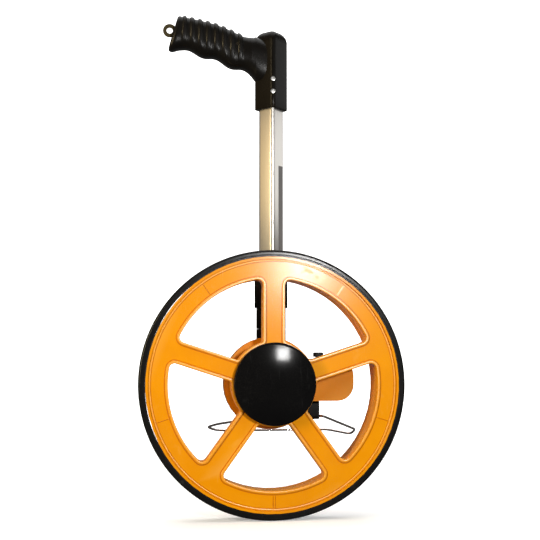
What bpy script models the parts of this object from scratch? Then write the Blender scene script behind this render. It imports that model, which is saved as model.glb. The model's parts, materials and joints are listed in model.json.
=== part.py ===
"""Measuring wheel: a rolling wheel that counts feet and inches, on a telescoping square pole.

Metres, Z up. The wheel's axle lies along Y, and the origin is where the tyre touches the ground.
The hub cap faces -Y. The pole, the gear case, the counter and the wire stand are behind the wheel,
at +Y, and the grip points to -X, toward the user. The pole is shown pushed together.
"""

from math import atan2, cos, hypot, pi, radians, sin, sqrt, tan, tau

import bmesh
import bpy
from mathutils import Matrix, Vector
from mathutils.geometry import tessellate_polygon

# Clearances shared by all pieces
FIT = 0.0003                      # between pieces that touch
RUNNING_GAP = 0.0015              # between the turning wheel and the fixed case
OVERRUN = 0.002                   # how far a cutting shape reaches past what it cuts
SHARP_EDGE = radians(35)
POST_INSET_SHARE = 0.75           # of a screw post's radius: how far its middle stands in from the wall

# Wheel: one turn rolls three feet
MEASURED_ROUND = 0.9144
TYRE_RADIUS = MEASURED_ROUND / tau
TYRE_THICKNESS = 0.0077
TYRE_WIDTH = 0.035
TYRE_EDGE = 0.0022
RIM_WIDTH = 0.036
RIM_WALL = 0.003
RIM_LIP_WIDTH = 0.0024
RIM_GROOVE_WIDTH = 0.0017
RIM_GROOVE_DEPTH = 0.0012
RIM_FOOT = 0.0022                 # how far the rim's wall reaches in under the front panel
PANEL_THICKNESS = 0.003
PANEL_RECESS = 0.0008             # the panel lies this far behind the raised borders
OPENING_INSET = 0.0237            # from the rim's outside in to the gaps between the spokes
BORDER_WIDTH = 0.0027
SPOKE_COUNT = 5
SPOKE_WIDTH = 0.0235
SPOKE_DEPTH = 0.018
SPOKE_RIM_FILLET = 0.006
SPOKE_HUB_FILLET = 0.003
HUB_RADIUS = 0.046
HUB_WALL = 0.0034
HUB_BOSS_WALL = 0.0042
WALL_STEP = 0.0006                # the ring walls stand this far back from the spokes' borders
RIB_THICKNESS = 0.0024
RIB_SETBACK = 0.0035              # how far ribs stop short of the wheel's back
WHEEL_SIDES = 60

# Hub cap
CAP_RADIUS = 0.0444
CAP_RISE = 0.0115
CAP_EDGE = 0.0012
CAP_WALL = 0.002
CAP_SIDES = 36

# Bearings, axle and its washers and nut
AXLE_RADIUS = 0.005
BEARING_RADIUS = 0.013
BEARING_WIDTH = 0.008
BEARING_SHIELD = 0.0008
BEARING_RACE = 0.0024
BEARING_SHOULDER = 0.0022
SLEEVE_WALL = 0.0024
WASHER_RADIUS = 0.0105
WASHER_THICKNESS = 0.0018
HEX_FLATS = 0.017
HEX_THICKNESS = 0.0062
BOLT_END = 0.002                  # bolt thread past its nut
SMALL_SIDES = 20

# Gear train: the counter's shaft turns three times in one turn of the wheel
MODULE = 0.00125
DRIVE_TEETH = 48
IDLER_TEETH = 26
PINION_TEETH = 16
GEAR_THICKNESS = 0.0055
TOOTH_ADDENDUM_SHARE = 0.8        # of the module
TOOTH_DEDENDUM_SHARE = 1.25
TOOTH_WIDTH_SHARE = 0.42          # of the tooth pitch, at the pitch circle
PRESSURE_ANGLE = radians(20)
DRIVE_BORE = 0.009
IDLER_PIN_RADIUS = 0.003
COUNTER_SHAFT_RADIUS = 0.0025

# Gear case and counter box, seen from the front
CASE_RADIUS = 0.051
CASE_WALL = 0.0025
CASE_DEPTH = 0.013
CASE_FACE = 0.002
CASE_MOUTH = 0.034                # radius of the hole in front, for the drive gear
CASE_PLATE = 0.0027
BOX_RIGHT = 0.0957
BOX_LEFT = 0.0415
BOX_ABOVE_AXLE = 0.0267
BOX_BELOW_AXLE = 0.0203
BOX_CORNER = 0.0185
BOX_INNER_CORNER = 0.003
BOX_DEPTH = 0.0316
POST_RADIUS = 0.003
CASE_SIDES = 40

# Number drums
DRUM_RADIUS = 0.0155
DRUM_GAP = 0.0007
INCH_DRUM_WIDTH = 0.0062
FEET_DRUM_WIDTH = 0.0052
DIGITS = 20                       # flats round a feet drum, two for each digit
INCHES = 24                       # flats round the inch drum, two for each inch
FEET_DRUM_NAMES = ("ones", "tens", "hundreds")
TRANSFER_TEETH = 8
TRANSFER_MODULE = 0.0009
TRANSFER_SHAFT_RADIUS = 0.0013
WINDOW_WIDTH = 0.0115
WINDOW_LENS = 0.0016

# Reset button on top of the counter box
RESET_X = 0.0612
RESET_SIZE = 0.0092
RESET_HEIGHT = 0.0042
RESET_EDGE = 0.0012
RESET_STEM_RADIUS = 0.0018
RESET_STEM_LENGTH = 0.0078
RESET_TRAVEL = 0.002
RESET_SPRING_RADIUS = 0.0029
RESET_SPRING_WIRE = 0.0005
RESET_SPRING_TURNS = 2

# Screws
SCREW_RADIUS = 0.0015
SCREW_HEAD_RADIUS = 0.0028
SCREW_HEAD_HEIGHT = 0.0018
SCREW_SIDES = 8
GEAR_SCREW_CIRCLE = 0.0235
GEAR_SCREW_LENGTH = 0.014
GEAR_SCREW_COUNT = 3
GEAR_SCREW_TURN = radians(18)     # keeps the screws clear of the hub's ribs
CASE_SCREW_ANGLES = (radians(150), radians(240))
PLATE_SCREW_LENGTH = 0.0085
BRACKET_SCREW_LENGTH = 0.0125

# Stem: the black socket that carries the axle, and the pole's foot
STEM_SIDE = 0.026
STEM_CORNER = 0.003
STEM_WALL_UNDER_TUBE = 0.0045
STEM_TOP_ABOVE_AXLE = 0.0608
STEM_BLOCK_HALF_WIDTH = 0.0195
STEM_BLOCK_ABOVE_AXLE = 0.0275
STEM_BLOCK_DEPTH = 0.0297
STEM_BLOCK_CORNER = 0.003
STEM_SCREWS_BELOW_TOP = (0.0183, 0.0063)

# Telescoping tubes, square and set corner to the front
POLE_X = 0.0064
POLE_TURN = pi / 4
TUBE_WALL = 0.0012
TUBE_CORNER = 0.002
OUTER_SIDE = 0.0225
MIDDLE_SIDE = OUTER_SIDE - 2 * (TUBE_WALL + FIT)
INNER_SIDE = MIDDLE_SIDE - 2 * (TUBE_WALL + FIT)
INNER_TUBE_UNDER_HANDLE = 0.0065
MIDDLE_TUBE_IN_HANDLE = 0.0085
PLUG_HEAD = 0.003
PLUG_SPIGOT = 0.009
PLUG_GRIP = 0.0008
LOWER_COLLAR_HEIGHT = 0.0237
UPPER_COLLAR_HEIGHT = 0.0314
UPPER_COLLAR_SIDE = 0.029
COLLAR_SHOULDER = 0.0025
COLLAR_EDGE = 0.0012
BUTTON_RADIUS = 0.003
BUTTON_OUT = 0.0025
BUTTON_EDGE = 0.0006

# Handle: column and ribbed grip, made as a front and a back half
COLUMN_SIDE = 0.0282
COLUMN_CORNER = 0.0045
COLUMN_BOTTOM = 0.4615            # above the ground, with the pole pushed together
COLUMN_HEIGHT = 0.0947
COLUMN_DOME = 0.0107              # height of the rounded top
DOME_NARROWING_SHARE = 0.5        # of the column's side
OUTER_TUBE_IN_HANDLE = 0.058
GRIP_LENGTH = 0.1125              # from the pole's middle line to the middle of the grip's end
GRIP_HEIGHT = 0.0428
GRIP_DEPTH = 0.031
GRIP_DROP = radians(17.4)         # the grip rises this much toward its end
GRIP_ROOT_BELOW_TOP = 0.0381      # from the column's top to where the grip's and the pole's lines meet
GRIP_END_LEAN = 0.39              # slope of the end face
GRIP_ARCH = 0.0036                # how far its middle line bows up between its ends
GRIP_TAPER = 0.0015               # the grip is this much lower at the column
GRIP_HEEL = 0.0042                # how far the heel drops at the end
GRIP_HEEL_LENGTH = 0.009
GRIP_WAVE = 0.0014                # finger grooves along the bottom
GRIP_WAVE_COUNT = 3
GRIP_END_ROUND = 0.003
RIB_COUNT = 8
RIB_PITCH = 0.0093
RIB_DEPTH = 0.0021
RIB_FIRST = 0.0115                # from the end of the grip to the first rib's middle
RIB_STEP_SHARES = (-0.32, -0.16, 0.16, 0.32)   # of the pitch: the foot and the top of each rib
RIB_REACH_SHARE = 0.75            # of the half height: how far down its sides the ribs fade out
GRIP_SECTION_SIDES = 20
GRIP_SQUARENESS = 2.7
HANDLE_WALL = 0.0042
HANDLE_SCREWS_ABOVE_BOTTOM = (0.035, 0.0202)
HANDLE_SCREW_SEAT = 0.0026
HANDLE_SCREW_LENGTH = 0.031

# Hanging eye at the end of the grip
EYE_RADIUS = 0.0079
EYE_HOLE = 0.0036
EYE_THICKNESS = 0.0024
EYE_OUT = 0.0068                  # from the end face to the eye's middle
EYE_TAB = 0.018
EYE_TAB_HEIGHT = 0.0064

# Wire stand and its bracket
PIVOT_UNDER_BOX = 0.0182          # from the counter box's bottom down to the stand's pivot
PIVOT_Y = 0.050
STAND_WIRE = 0.0015
STAND_SLOPE = radians(13.5)
STAND_REACH = 0.115
STAND_LEFT = -0.0575
STAND_RIGHT = 0.126
STAND_BEND = 0.012
STAND_NECK = 0.006                # straight wire past the bracket's sides
STAND_NECK_BEND = 0.005
STAND_ARM_SHARE = 0.62            # of the reach: how soon the arms get their full width
BRACKET_LEFT = 0.0085
BRACKET_RIGHT = 0.0598
BRACKET_DEPTH = 0.024
BRACKET_UNDER_PIVOT = 0.0032
BRACKET_CORNER = 0.0035
BRACKET_SCREW_SETBACK = 0.0065
BRACKET_HOLD = 0.0087             # from the heads of its screws up to the counter box

# Places along the axle that follow from the sizes above
RIM_BACK = RIM_WIDTH / 2
RIM_FRONT = -RIM_BACK
PANEL_FRONT = RIM_FRONT + PANEL_RECESS
PANEL_BACK = PANEL_FRONT + PANEL_THICKNESS
CASE_FRONT = RIM_BACK + RUNNING_GAP
CASE_BACK = CASE_FRONT + CASE_DEPTH
PLATE_FRONT = CASE_BACK + FIT
PLATE_BACK = PLATE_FRONT + CASE_PLATE
BLOCK_FRONT = PLATE_BACK + FIT
BLOCK_BACK = BLOCK_FRONT + STEM_BLOCK_DEPTH
BOX_BACK = BLOCK_FRONT + BOX_DEPTH
POLE_Y = BLOCK_FRONT + STEM_SIDE / sqrt(2) - STEM_CORNER * (sqrt(2) - 1)
AXLE_HEIGHT = TYRE_RADIUS
RIM_RADIUS = TYRE_RADIUS - TYRE_THICKNESS
OPENING_RADIUS = RIM_RADIUS - OPENING_INSET
BOX_TOP = AXLE_HEIGHT + BOX_ABOVE_AXLE
BOX_BOTTOM = AXLE_HEIGHT - BOX_BELOW_AXLE
IDLER_X = MODULE * (DRIVE_TEETH + IDLER_TEETH) / 2
COUNTER_CLIMB = tau / IDLER_TEETH  # the counter lies one tooth of the idler above the line of the axles
COUNTER_X = IDLER_X + MODULE * (IDLER_TEETH + PINION_TEETH) / 2 * cos(COUNTER_CLIMB)
COUNTER_RISE = MODULE * (IDLER_TEETH + PINION_TEETH) / 2 * sin(COUNTER_CLIMB)
COUNTER_HEIGHT = AXLE_HEIGHT + COUNTER_RISE
GEAR_FRONT = CASE_FRONT + CASE_FACE + FIT
GEAR_BACK = GEAR_FRONT + GEAR_THICKNESS
STEM_TOP = AXLE_HEIGHT + STEM_TOP_ABOVE_AXLE
STEM_SCREW_HEIGHTS = tuple(STEM_TOP - below for below in STEM_SCREWS_BELOW_TOP)
STEM_SOCKET_BOTTOM = AXLE_HEIGHT + STEM_BLOCK_ABOVE_AXLE + STEM_WALL_UNDER_TUBE
LOWER_COLLAR_BOTTOM = STEM_TOP + FIT
LOWER_COLLAR_TOP = LOWER_COLLAR_BOTTOM + LOWER_COLLAR_HEIGHT
UPPER_COLLAR_BOTTOM = LOWER_COLLAR_TOP + FIT
UPPER_COLLAR_TOP = UPPER_COLLAR_BOTTOM + UPPER_COLLAR_HEIGHT
OUTER_BOTTOM = UPPER_COLLAR_BOTTOM + COLLAR_SHOULDER + FIT
MIDDLE_BOTTOM = LOWER_COLLAR_BOTTOM + COLLAR_SHOULDER + FIT
INNER_TOP = COLUMN_BOTTOM - INNER_TUBE_UNDER_HANDLE
MIDDLE_TOP = COLUMN_BOTTOM + MIDDLE_TUBE_IN_HANDLE
OUTER_TOP = COLUMN_BOTTOM + OUTER_TUBE_IN_HANDLE
COLUMN_TOP = COLUMN_BOTTOM + COLUMN_HEIGHT
COLUMN_SHOULDER = COLUMN_TOP - COLUMN_DOME
GRIP_ROOT_HEIGHT = COLUMN_TOP - GRIP_ROOT_BELOW_TOP
HANDLE_SCREW_HEIGHTS = tuple(COLUMN_BOTTOM + above for above in HANDLE_SCREWS_ABOVE_BOTTOM)
PIVOT_HEIGHT = BOX_BOTTOM - PIVOT_UNDER_BOX
BRACKET_SCREW_SEAT = BOX_BOTTOM - BRACKET_HOLD


# Shapes: each is a list of points and a list of faces

def circle(radius, sides, centre=(0, 0), turn=0.0):
    """Points of a circle, the first at the angle `turn`."""
    return [
        (centre[0] + radius * cos(turn + tau * i / sides), centre[1] + radius * sin(turn + tau * i / sides))
        for i in range(sides)
    ]


def arc(centre, radius, start, end, steps):
    """Points along an arc, both ends included."""
    return [
        (centre[0] + radius * cos(start + (end - start) * i / steps),
         centre[1] + radius * sin(start + (end - start) * i / steps))
        for i in range(steps + 1)
    ]


def rounded_box(left, right, bottom, top, corner, steps=3):
    """A rectangle's outline with round corners."""
    points = []
    for x, y, start in (
        (right - corner, top - corner, 0.0),
        (left + corner, top - corner, pi / 2),
        (left + corner, bottom + corner, pi),
        (right - corner, bottom + corner, 3 * pi / 2),
    ):
        points += arc((x, y), corner, start, start + pi / 2, steps)
    return points


def square(side, corner, steps=3):
    """A square's outline with round corners, about the middle."""
    half = side / 2
    return rounded_box(-half, half, -half, half, corner, steps)


def prism(outline, low, high, holes=()):
    """A plate between two heights with an outline and holes through it."""
    loops = [outline, *holes]
    flat = [point for loop in loops for point in loop]
    count = len(flat)
    points = [(x, y, low) for x, y in flat] + [(x, y, high) for x, y in flat]
    caps = tessellate_polygon([[Vector((x, y, 0)) for x, y in loop] for loop in loops])
    faces = [tuple(cap) for cap in caps]
    faces += [tuple(count + index for index in cap) for cap in caps]
    start = 0
    for loop in loops:
        size = len(loop)
        for i in range(size):
            a, b = start + i, start + (i + 1) % size
            faces.append((a, b, count + b, count + a))
        start += size
    return points, faces


def turned(profile, sides, turn=0.0):
    """A profile of (radius, height) points turned about Z. It is a ring, unless it ends on the axis."""
    pointed = profile[0][0] == 0 and profile[-1][0] == 0
    rings = profile[1:-1] if pointed else profile
    points = []
    for i in range(sides):
        angle = turn + tau * i / sides
        points += [(radius * cos(angle), radius * sin(angle), height) for radius, height in rings]
    size = len(rings)
    faces = []
    for i in range(sides):
        here, there = i * size, (i + 1) % sides * size
        for j in range(size - 1 if pointed else size):
            k = (j + 1) % size
            faces.append((here + j, there + j, there + k, here + k))
    if pointed:
        first, last = len(points), len(points) + 1
        points += [(0.0, 0.0, profile[0][1]), (0.0, 0.0, profile[-1][1])]
        for i in range(sides):
            here, there = i * size, (i + 1) % sides * size
            faces.append((first, there, here))
            faces.append((last, here + size - 1, there + size - 1))
    return points, faces


def ring(inner, outer, low, high, sides, turn=0.0):
    """A plain ring about Z."""
    return turned([(inner, low), (outer, low), (outer, high), (inner, high)], sides, turn)


def rod(radius, low, high, sides):
    """A plain round bar about Z."""
    return turned([(0, low), (radius, low), (radius, high), (0, high)], sides)


def loft(sections):
    """A closed skin over a row of outlines with the same number of points, flat at both ends."""
    size = len(sections[0])
    points = [point for section in sections for point in section]
    faces = []
    for row in range(len(sections) - 1):
        for i in range(size):
            a, b = row * size + i, row * size + (i + 1) % size
            faces.append((a, b, b + size, a + size))
    last = (len(sections) - 1) * size
    faces.append(tuple(reversed(range(size))))
    faces.append(tuple(range(last, last + size)))
    return points, faces


def moved(shape, matrix):
    """The shape carried by a matrix."""
    points, faces = shape
    return [tuple(matrix @ Vector(point)) for point in points], faces


def shifted(shape, x=0.0, y=0.0, z=0.0):
    """The shape moved along the axes."""
    return moved(shape, Matrix.Translation((x, y, z)))


def along_y(shape):
    """The shape with its height laid along Y and its outline upright."""
    points, faces = shape
    return [(x, z, y) for x, y, z in points], faces


def along_x(shape):
    """The shape with its height laid along X."""
    points, faces = shape
    return [(z, x, y) for x, y, z in points], faces


def gear_outline(teeth, module, turn=0.0):
    """Four points for each tooth, on an involute flank, the first tooth at the angle `turn`."""
    pitch_radius = teeth * module / 2
    tip = pitch_radius + TOOTH_ADDENDUM_SHARE * module
    root = pitch_radius - TOOTH_DEDENDUM_SHARE * module
    base = pitch_radius * cos(PRESSURE_ANGLE)

    def half_angle(radius):
        """Half the angle that a tooth takes at a radius."""
        at_pitch = TOOTH_WIDTH_SHARE * pi / teeth
        slope = sqrt(max(radius * radius / base / base - 1, 0))
        return at_pitch + tan(PRESSURE_ANGLE) - PRESSURE_ANGLE - (slope - atan2(slope, 1))

    points = []
    for i in range(teeth):
        middle = turn + tau * i / teeth
        for radius, side in ((root, -1), (tip, -1), (tip, 1), (root, 1)):
            angle = middle + side * half_angle(max(radius, base))
            points.append((radius * cos(angle), radius * sin(angle)))
    return points


def post_shape(low, high, depth):
    """A screw post from `low` to `high` with a hole of some depth down from its top."""
    hole = SCREW_RADIUS + FIT
    floor = high - depth
    profile = [(0, low), (POST_RADIUS, low), (POST_RADIUS, high), (hole, high), (hole, floor), (0, floor)]
    return turned(profile, SMALL_SIDES // 2)


def pan_screw(length, head_radius=SCREW_HEAD_RADIUS):
    """A screw that stands on the plane z = 0 with its head up and its shank down."""
    return turned(
        [
            (0, -length),
            (SCREW_RADIUS, -length),
            (SCREW_RADIUS, 0),
            (head_radius, 0),
            (head_radius, SCREW_HEAD_HEIGHT / 2),
            (head_radius / 2, SCREW_HEAD_HEIGHT),
            (0, SCREW_HEAD_HEIGHT),
        ],
        SCREW_SIDES,
    )


# Objects

def finish(name, colour, roughness, metallic=0.0, alpha=1.0):
    """A plain material."""
    material = bpy.data.materials.new(name)
    material.use_nodes = True
    shader = material.node_tree.nodes["Principled BSDF"]
    shader.inputs["Base Color"].default_value = (*colour, 1.0)
    shader.inputs["Roughness"].default_value = roughness
    shader.inputs["Metallic"].default_value = metallic
    shader.inputs["Alpha"].default_value = alpha
    material.diffuse_color = (*colour, alpha)
    return material


def piece(name, shape, material, parent=None, place=(0, 0, 0)):
    """An object made from a shape, with its faces turned out."""
    points, faces = shape
    mesh = bpy.data.meshes.new(name)
    mesh.from_pydata(points, [], faces)
    work = bmesh.new()
    work.from_mesh(mesh)
    bmesh.ops.recalc_face_normals(work, faces=work.faces)
    work.to_mesh(mesh)
    work.free()
    if material:
        mesh.materials.append(material)
    mesh.shade_smooth()
    mesh.set_sharp_from_angle(angle=SHARP_EDGE)
    made = bpy.data.objects.new(name, mesh)
    bpy.context.scene.collection.objects.link(made)
    made.location = place
    made.parent = parent
    return made


def copies(name, shape, material, places, parent=None):
    """Numbered objects at several places that share one mesh."""
    first = piece(f"{name}_1", shape, material, parent, places[0])
    for number, place in enumerate(places[1:], 2):
        copy = bpy.data.objects.new(f"{name}_{number}", first.data)
        bpy.context.scene.collection.objects.link(copy)
        copy.location = place
        copy.parent = parent


def pivot(name, place, parent=None, turn=(0, 0, 0)):
    """An empty that stands for a joint or a frame."""
    empty = bpy.data.objects.new(name, None)
    empty.location = place
    empty.rotation_euler = turn
    empty.parent = parent
    bpy.context.scene.collection.objects.link(empty)
    return empty


def boolean(target, operation, shapes, turn_with_target=True):
    """Joins shapes to an object or cuts them out of it. They stay in the file as wires."""
    group = bpy.data.collections.new(f"{target.name} {operation.lower()}")
    bpy.context.scene.collection.children.link(group)
    for number, shape in enumerate(shapes, 1):
        tool = piece(f"{group.name} {number}", shape, None)
        bpy.context.scene.collection.objects.unlink(tool)
        group.objects.link(tool)
        tool.hide_render = True
        tool.display_type = "WIRE"
        if turn_with_target:
            tool.location = target.location
            tool.parent = target.parent
    change = target.modifiers.new(operation.title(), "BOOLEAN")
    change.operation = operation
    change.operand_type = "COLLECTION"
    change.collection = group
    change.solver = "EXACT"


def on_circle(radius, angle):
    """A point on a circle about the axle, as (x, z)."""
    return radius * cos(angle), radius * sin(angle)


# Wheel, about its own axle: the objects stand at the axle's height

def opening_outline(number, grow):
    """One of the gaps between two spokes, with its edge moved out by `grow` all round."""
    half_width = SPOKE_WIDTH / 2 - grow
    rim = OPENING_RADIUS + grow
    hub = HUB_RADIUS - grow
    rim_fillet = SPOKE_RIM_FILLET + grow
    hub_fillet = SPOKE_HUB_FILLET + grow
    half_gap = pi / SPOKE_COUNT
    across = half_width + rim_fillet
    rim_centre = (across, sqrt((rim - rim_fillet) ** 2 - across * across))
    hub_across = half_width + hub_fillet
    hub_centre = (hub_across, sqrt((hub + hub_fillet) ** 2 - hub_across * hub_across))
    rim_angle = atan2(rim_centre[1], rim_centre[0])
    hub_angle = atan2(hub_centre[1], hub_centre[0])
    # the half beside one spoke, with the spoke pointing up, from the hub's arc to the rim's
    half = arc((0, 0), hub, pi / 2 - half_gap, hub_angle, 2)[:-1]
    half += arc(hub_centre, hub_fillet, hub_angle + pi, pi, 2)
    half += arc(rim_centre, rim_fillet, pi, rim_angle, 3)
    half += arc((0, 0), rim, rim_angle, pi / 2 - half_gap, 5)[1:]
    polar = [(hypot(x, y), pi / 2 - atan2(y, x)) for x, y in half]
    spoke = pi / 2 - number * tau / SPOKE_COUNT
    points = [on_circle(radius, spoke - lean) for radius, lean in polar]
    points += [on_circle(radius, spoke - 2 * half_gap + lean) for radius, lean in polar[-2:0:-1]]
    return points


def radial_bar(angle, inner, outer, thickness, front, back):
    """A straight bar that lies along a radius of the wheel."""
    half = thickness / 2
    bar = prism([(inner, -half), (outer, -half), (outer, half), (inner, half)], front, back)
    return along_y(moved(bar, Matrix.Rotation(angle, 4, "Z")))


def make_tyre(material, hub):
    """The rubber band round the rim, with a flat side at the bottom."""
    inner = RIM_RADIUS + FIT
    outer = TYRE_RADIUS / cos(pi / WHEEL_SIDES)
    half = TYRE_WIDTH / 2
    profile = [
        (inner, -half),
        (outer - TYRE_EDGE, -half),
        (outer, -half + TYRE_EDGE),
        (outer, half - TYRE_EDGE),
        (outer - TYRE_EDGE, half),
        (inner, half),
    ]
    piece("tyre", along_y(turned(profile, WHEEL_SIDES, pi / WHEEL_SIDES)), material, None, hub)


def make_wheel_disc(material, hub):
    """Rim, five spokes and hub in one moulding, open at the back."""
    middle = BORDER_WIDTH / 2
    lip_inner = RIM_RADIUS - RIM_LIP_WIDTH
    panel_radius = lip_inner - RIM_GROOVE_WIDTH
    groove_floor = PANEL_FRONT + RIM_GROOVE_DEPTH
    panel = prism(
        circle(panel_radius, WHEEL_SIDES, turn=pi / WHEEL_SIDES),
        PANEL_FRONT,
        PANEL_BACK,
        [opening_outline(number, middle) for number in range(SPOKE_COUNT)]
        + [circle(BEARING_RADIUS + HUB_BOSS_WALL / 2, SMALL_SIDES)],
    )
    rim = turned(
        [
            (RIM_RADIUS, RIM_BACK),
            (RIM_RADIUS, RIM_FRONT),
            (lip_inner, RIM_FRONT),
            (lip_inner, groove_floor),
            (panel_radius - RIM_FOOT, groove_floor),
            (panel_radius - RIM_FOOT, groove_floor + middle),
            (RIM_RADIUS - RIM_WALL, groove_floor + middle),
            (RIM_RADIUS - RIM_WALL, RIM_BACK),
        ],
        WHEEL_SIDES,
        pi / WHEEL_SIDES,
    )
    wall_front = PANEL_FRONT + PANEL_THICKNESS / 3
    wall_inner = OPENING_RADIUS + WALL_STEP
    inner_wall = ring(wall_inner, wall_inner + BORDER_WIDTH, wall_front, RIM_BACK, WHEEL_SIDES,
                      pi / WHEEL_SIDES)
    hub_outer = HUB_RADIUS - WALL_STEP
    hub_back = RIM_BACK - WALL_STEP
    hub_wall = ring(hub_outer - HUB_WALL, hub_outer, wall_front, hub_back, CASE_SIDES)
    bore = BEARING_RADIUS + FIT
    shoulder = BEARING_RADIUS - BEARING_SHOULDER
    shelf = RIM_BACK - BEARING_WIDTH - 2 * BEARING_SHIELD
    boss = turned(
        [
            (bore + HUB_BOSS_WALL, hub_back),
            (bore, hub_back),
            (bore, shelf),
            (shoulder, shelf),
            (shoulder, -shelf),
            (bore, -shelf),
            (bore, PANEL_FRONT + PANEL_THICKNESS / 6),
            (bore + HUB_BOSS_WALL, PANEL_FRONT + PANEL_THICKNESS / 6),
        ],
        SMALL_SIDES,
    )
    additions = [along_y(rim), along_y(inner_wall), along_y(hub_wall), along_y(boss)]
    rib_front = PANEL_FRONT + PANEL_THICKNESS / 2
    rib_back = RIM_BACK - RIB_SETBACK
    rim_rib = (OPENING_RADIUS + middle, RIM_RADIUS - RIM_WALL / 2)
    hub_rib = (bore + HUB_BOSS_WALL / 2, hub_outer - HUB_WALL / 2)
    for number in range(SPOKE_COUNT):
        between = pi / 2 - (number + 0.5) * tau / SPOKE_COUNT
        border = prism(opening_outline(number, BORDER_WIDTH), RIM_FRONT, RIM_FRONT + SPOKE_DEPTH,
                       [opening_outline(number, 0)])
        additions.append(along_y(border))
        for inner, outer in (rim_rib, hub_rib):
            additions.append(radial_bar(between, inner, outer, RIB_THICKNESS, rib_front, rib_back))
    post = post_shape(PANEL_FRONT + PANEL_THICKNESS / 4, RIM_BACK, GEAR_SCREW_LENGTH)
    additions += [along_y(shifted(post, x, z)) for x, z in gear_screw_places()]
    wheel = piece("wheel_disc", along_y(panel), material, None, hub)
    boolean(wheel, "UNION", additions)


def make_hub_cap(material, hub):
    """A domed cap that sits in the raised border round the hub."""
    base = RIM_FRONT - FIT
    spigot = HUB_RADIUS - BORDER_WIDTH - FIT
    dome_radius = (CAP_RADIUS ** 2 + CAP_RISE ** 2) / 2 / CAP_RISE
    centre = base - CAP_EDGE - CAP_RISE + dome_radius
    widest = atan2(CAP_RADIUS, dome_radius - CAP_RISE)
    inner_radius = dome_radius - CAP_WALL
    inner_widest = widest * (CAP_RADIUS - CAP_WALL) / CAP_RADIUS
    steps = 4
    outside = [
        (dome_radius * sin(widest * i / steps), centre - dome_radius * cos(widest * i / steps))
        for i in range(steps + 1)
    ]
    inside = [
        (inner_radius * sin(inner_widest * i / steps),
         centre - inner_radius * cos(inner_widest * i / steps))
        for i in range(steps, -1, -2)
    ]
    edge = [
        (CAP_RADIUS, base),
        (spigot, base),
        (spigot, PANEL_FRONT - FIT),
        (spigot - CAP_WALL, PANEL_FRONT - FIT),
    ]
    piece("hub_cap", along_y(turned(outside + edge + inside, CAP_SIDES)), material, None, hub)


def make_bearings(material, hub):
    """Two shielded ball bearings in the hub, with a sleeve between them."""
    inner = AXLE_RADIUS + FIT
    seat = RIM_BACK - BEARING_SHIELD - BEARING_WIDTH
    for name, low in (("front_bearing", -seat - BEARING_WIDTH), ("rear_bearing", seat)):
        high = low + BEARING_WIDTH
        profile = [
            (inner, low),
            (inner + BEARING_RACE, low),
            (inner + BEARING_RACE, low + BEARING_SHIELD),
            (BEARING_RADIUS - BEARING_RACE, low + BEARING_SHIELD),
            (BEARING_RADIUS - BEARING_RACE, low),
            (BEARING_RADIUS, low),
            (BEARING_RADIUS, high),
            (inner, high),
        ]
        piece(name, along_y(turned(profile, SMALL_SIDES)), material, None, hub)
    sleeve = ring(inner, inner + SLEEVE_WALL, -seat + FIT, seat - FIT, SMALL_SIDES)
    return sleeve, seat + BEARING_WIDTH


def make_axle(steel, hub, sleeve, bearing_back):
    """The axle bolt through hub, case and stem, with its sleeves, washers and nut."""
    inner = AXLE_RADIUS + FIT
    washer_back = -bearing_back - FIT
    washer_front = washer_back - WASHER_THICKNESS
    head_back = washer_front - FIT
    rear_washer = BLOCK_BACK + FIT
    nut_front = rear_washer + WASHER_THICKNESS + FIT
    nut_back = nut_front + HEX_THICKNESS
    hexagon = circle(HEX_FLATS / sqrt(3), 6)
    sleeve_outer = inner + SLEEVE_WALL
    piece("bearing_sleeve", along_y(sleeve), steel, None, hub)
    for name, outer, low, high in (
        ("rear_sleeve", sleeve_outer, bearing_back + FIT, PLATE_FRONT - FIT),
        ("front_washer", WASHER_RADIUS, washer_front, washer_back),
        ("rear_washer", WASHER_RADIUS, rear_washer, rear_washer + WASHER_THICKNESS),
    ):
        piece(name, along_y(ring(inner, outer, low, high, SMALL_SIDES)), steel, None, hub)
    nut = prism(hexagon, nut_front, nut_back, [circle(inner, SMALL_SIDES)])
    piece("axle_nut", along_y(nut), steel, None, hub)
    head = prism(hexagon, head_back - HEX_THICKNESS, head_back)
    bolt = piece("axle_bolt", along_y(head), steel, None, hub)
    shank = rod(AXLE_RADIUS, head_back - HEX_THICKNESS / 2, nut_back + BOLT_END, SMALL_SIDES)
    boolean(bolt, "UNION", [along_y(shank)])


# Gear train

def gear_screw_places():
    """Where the drive gear's screws go, as (x, z) from the axle."""
    return [on_circle(GEAR_SCREW_CIRCLE, GEAR_SCREW_TURN + tau * number / GEAR_SCREW_COUNT)
            for number in range(GEAR_SCREW_COUNT)]


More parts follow.
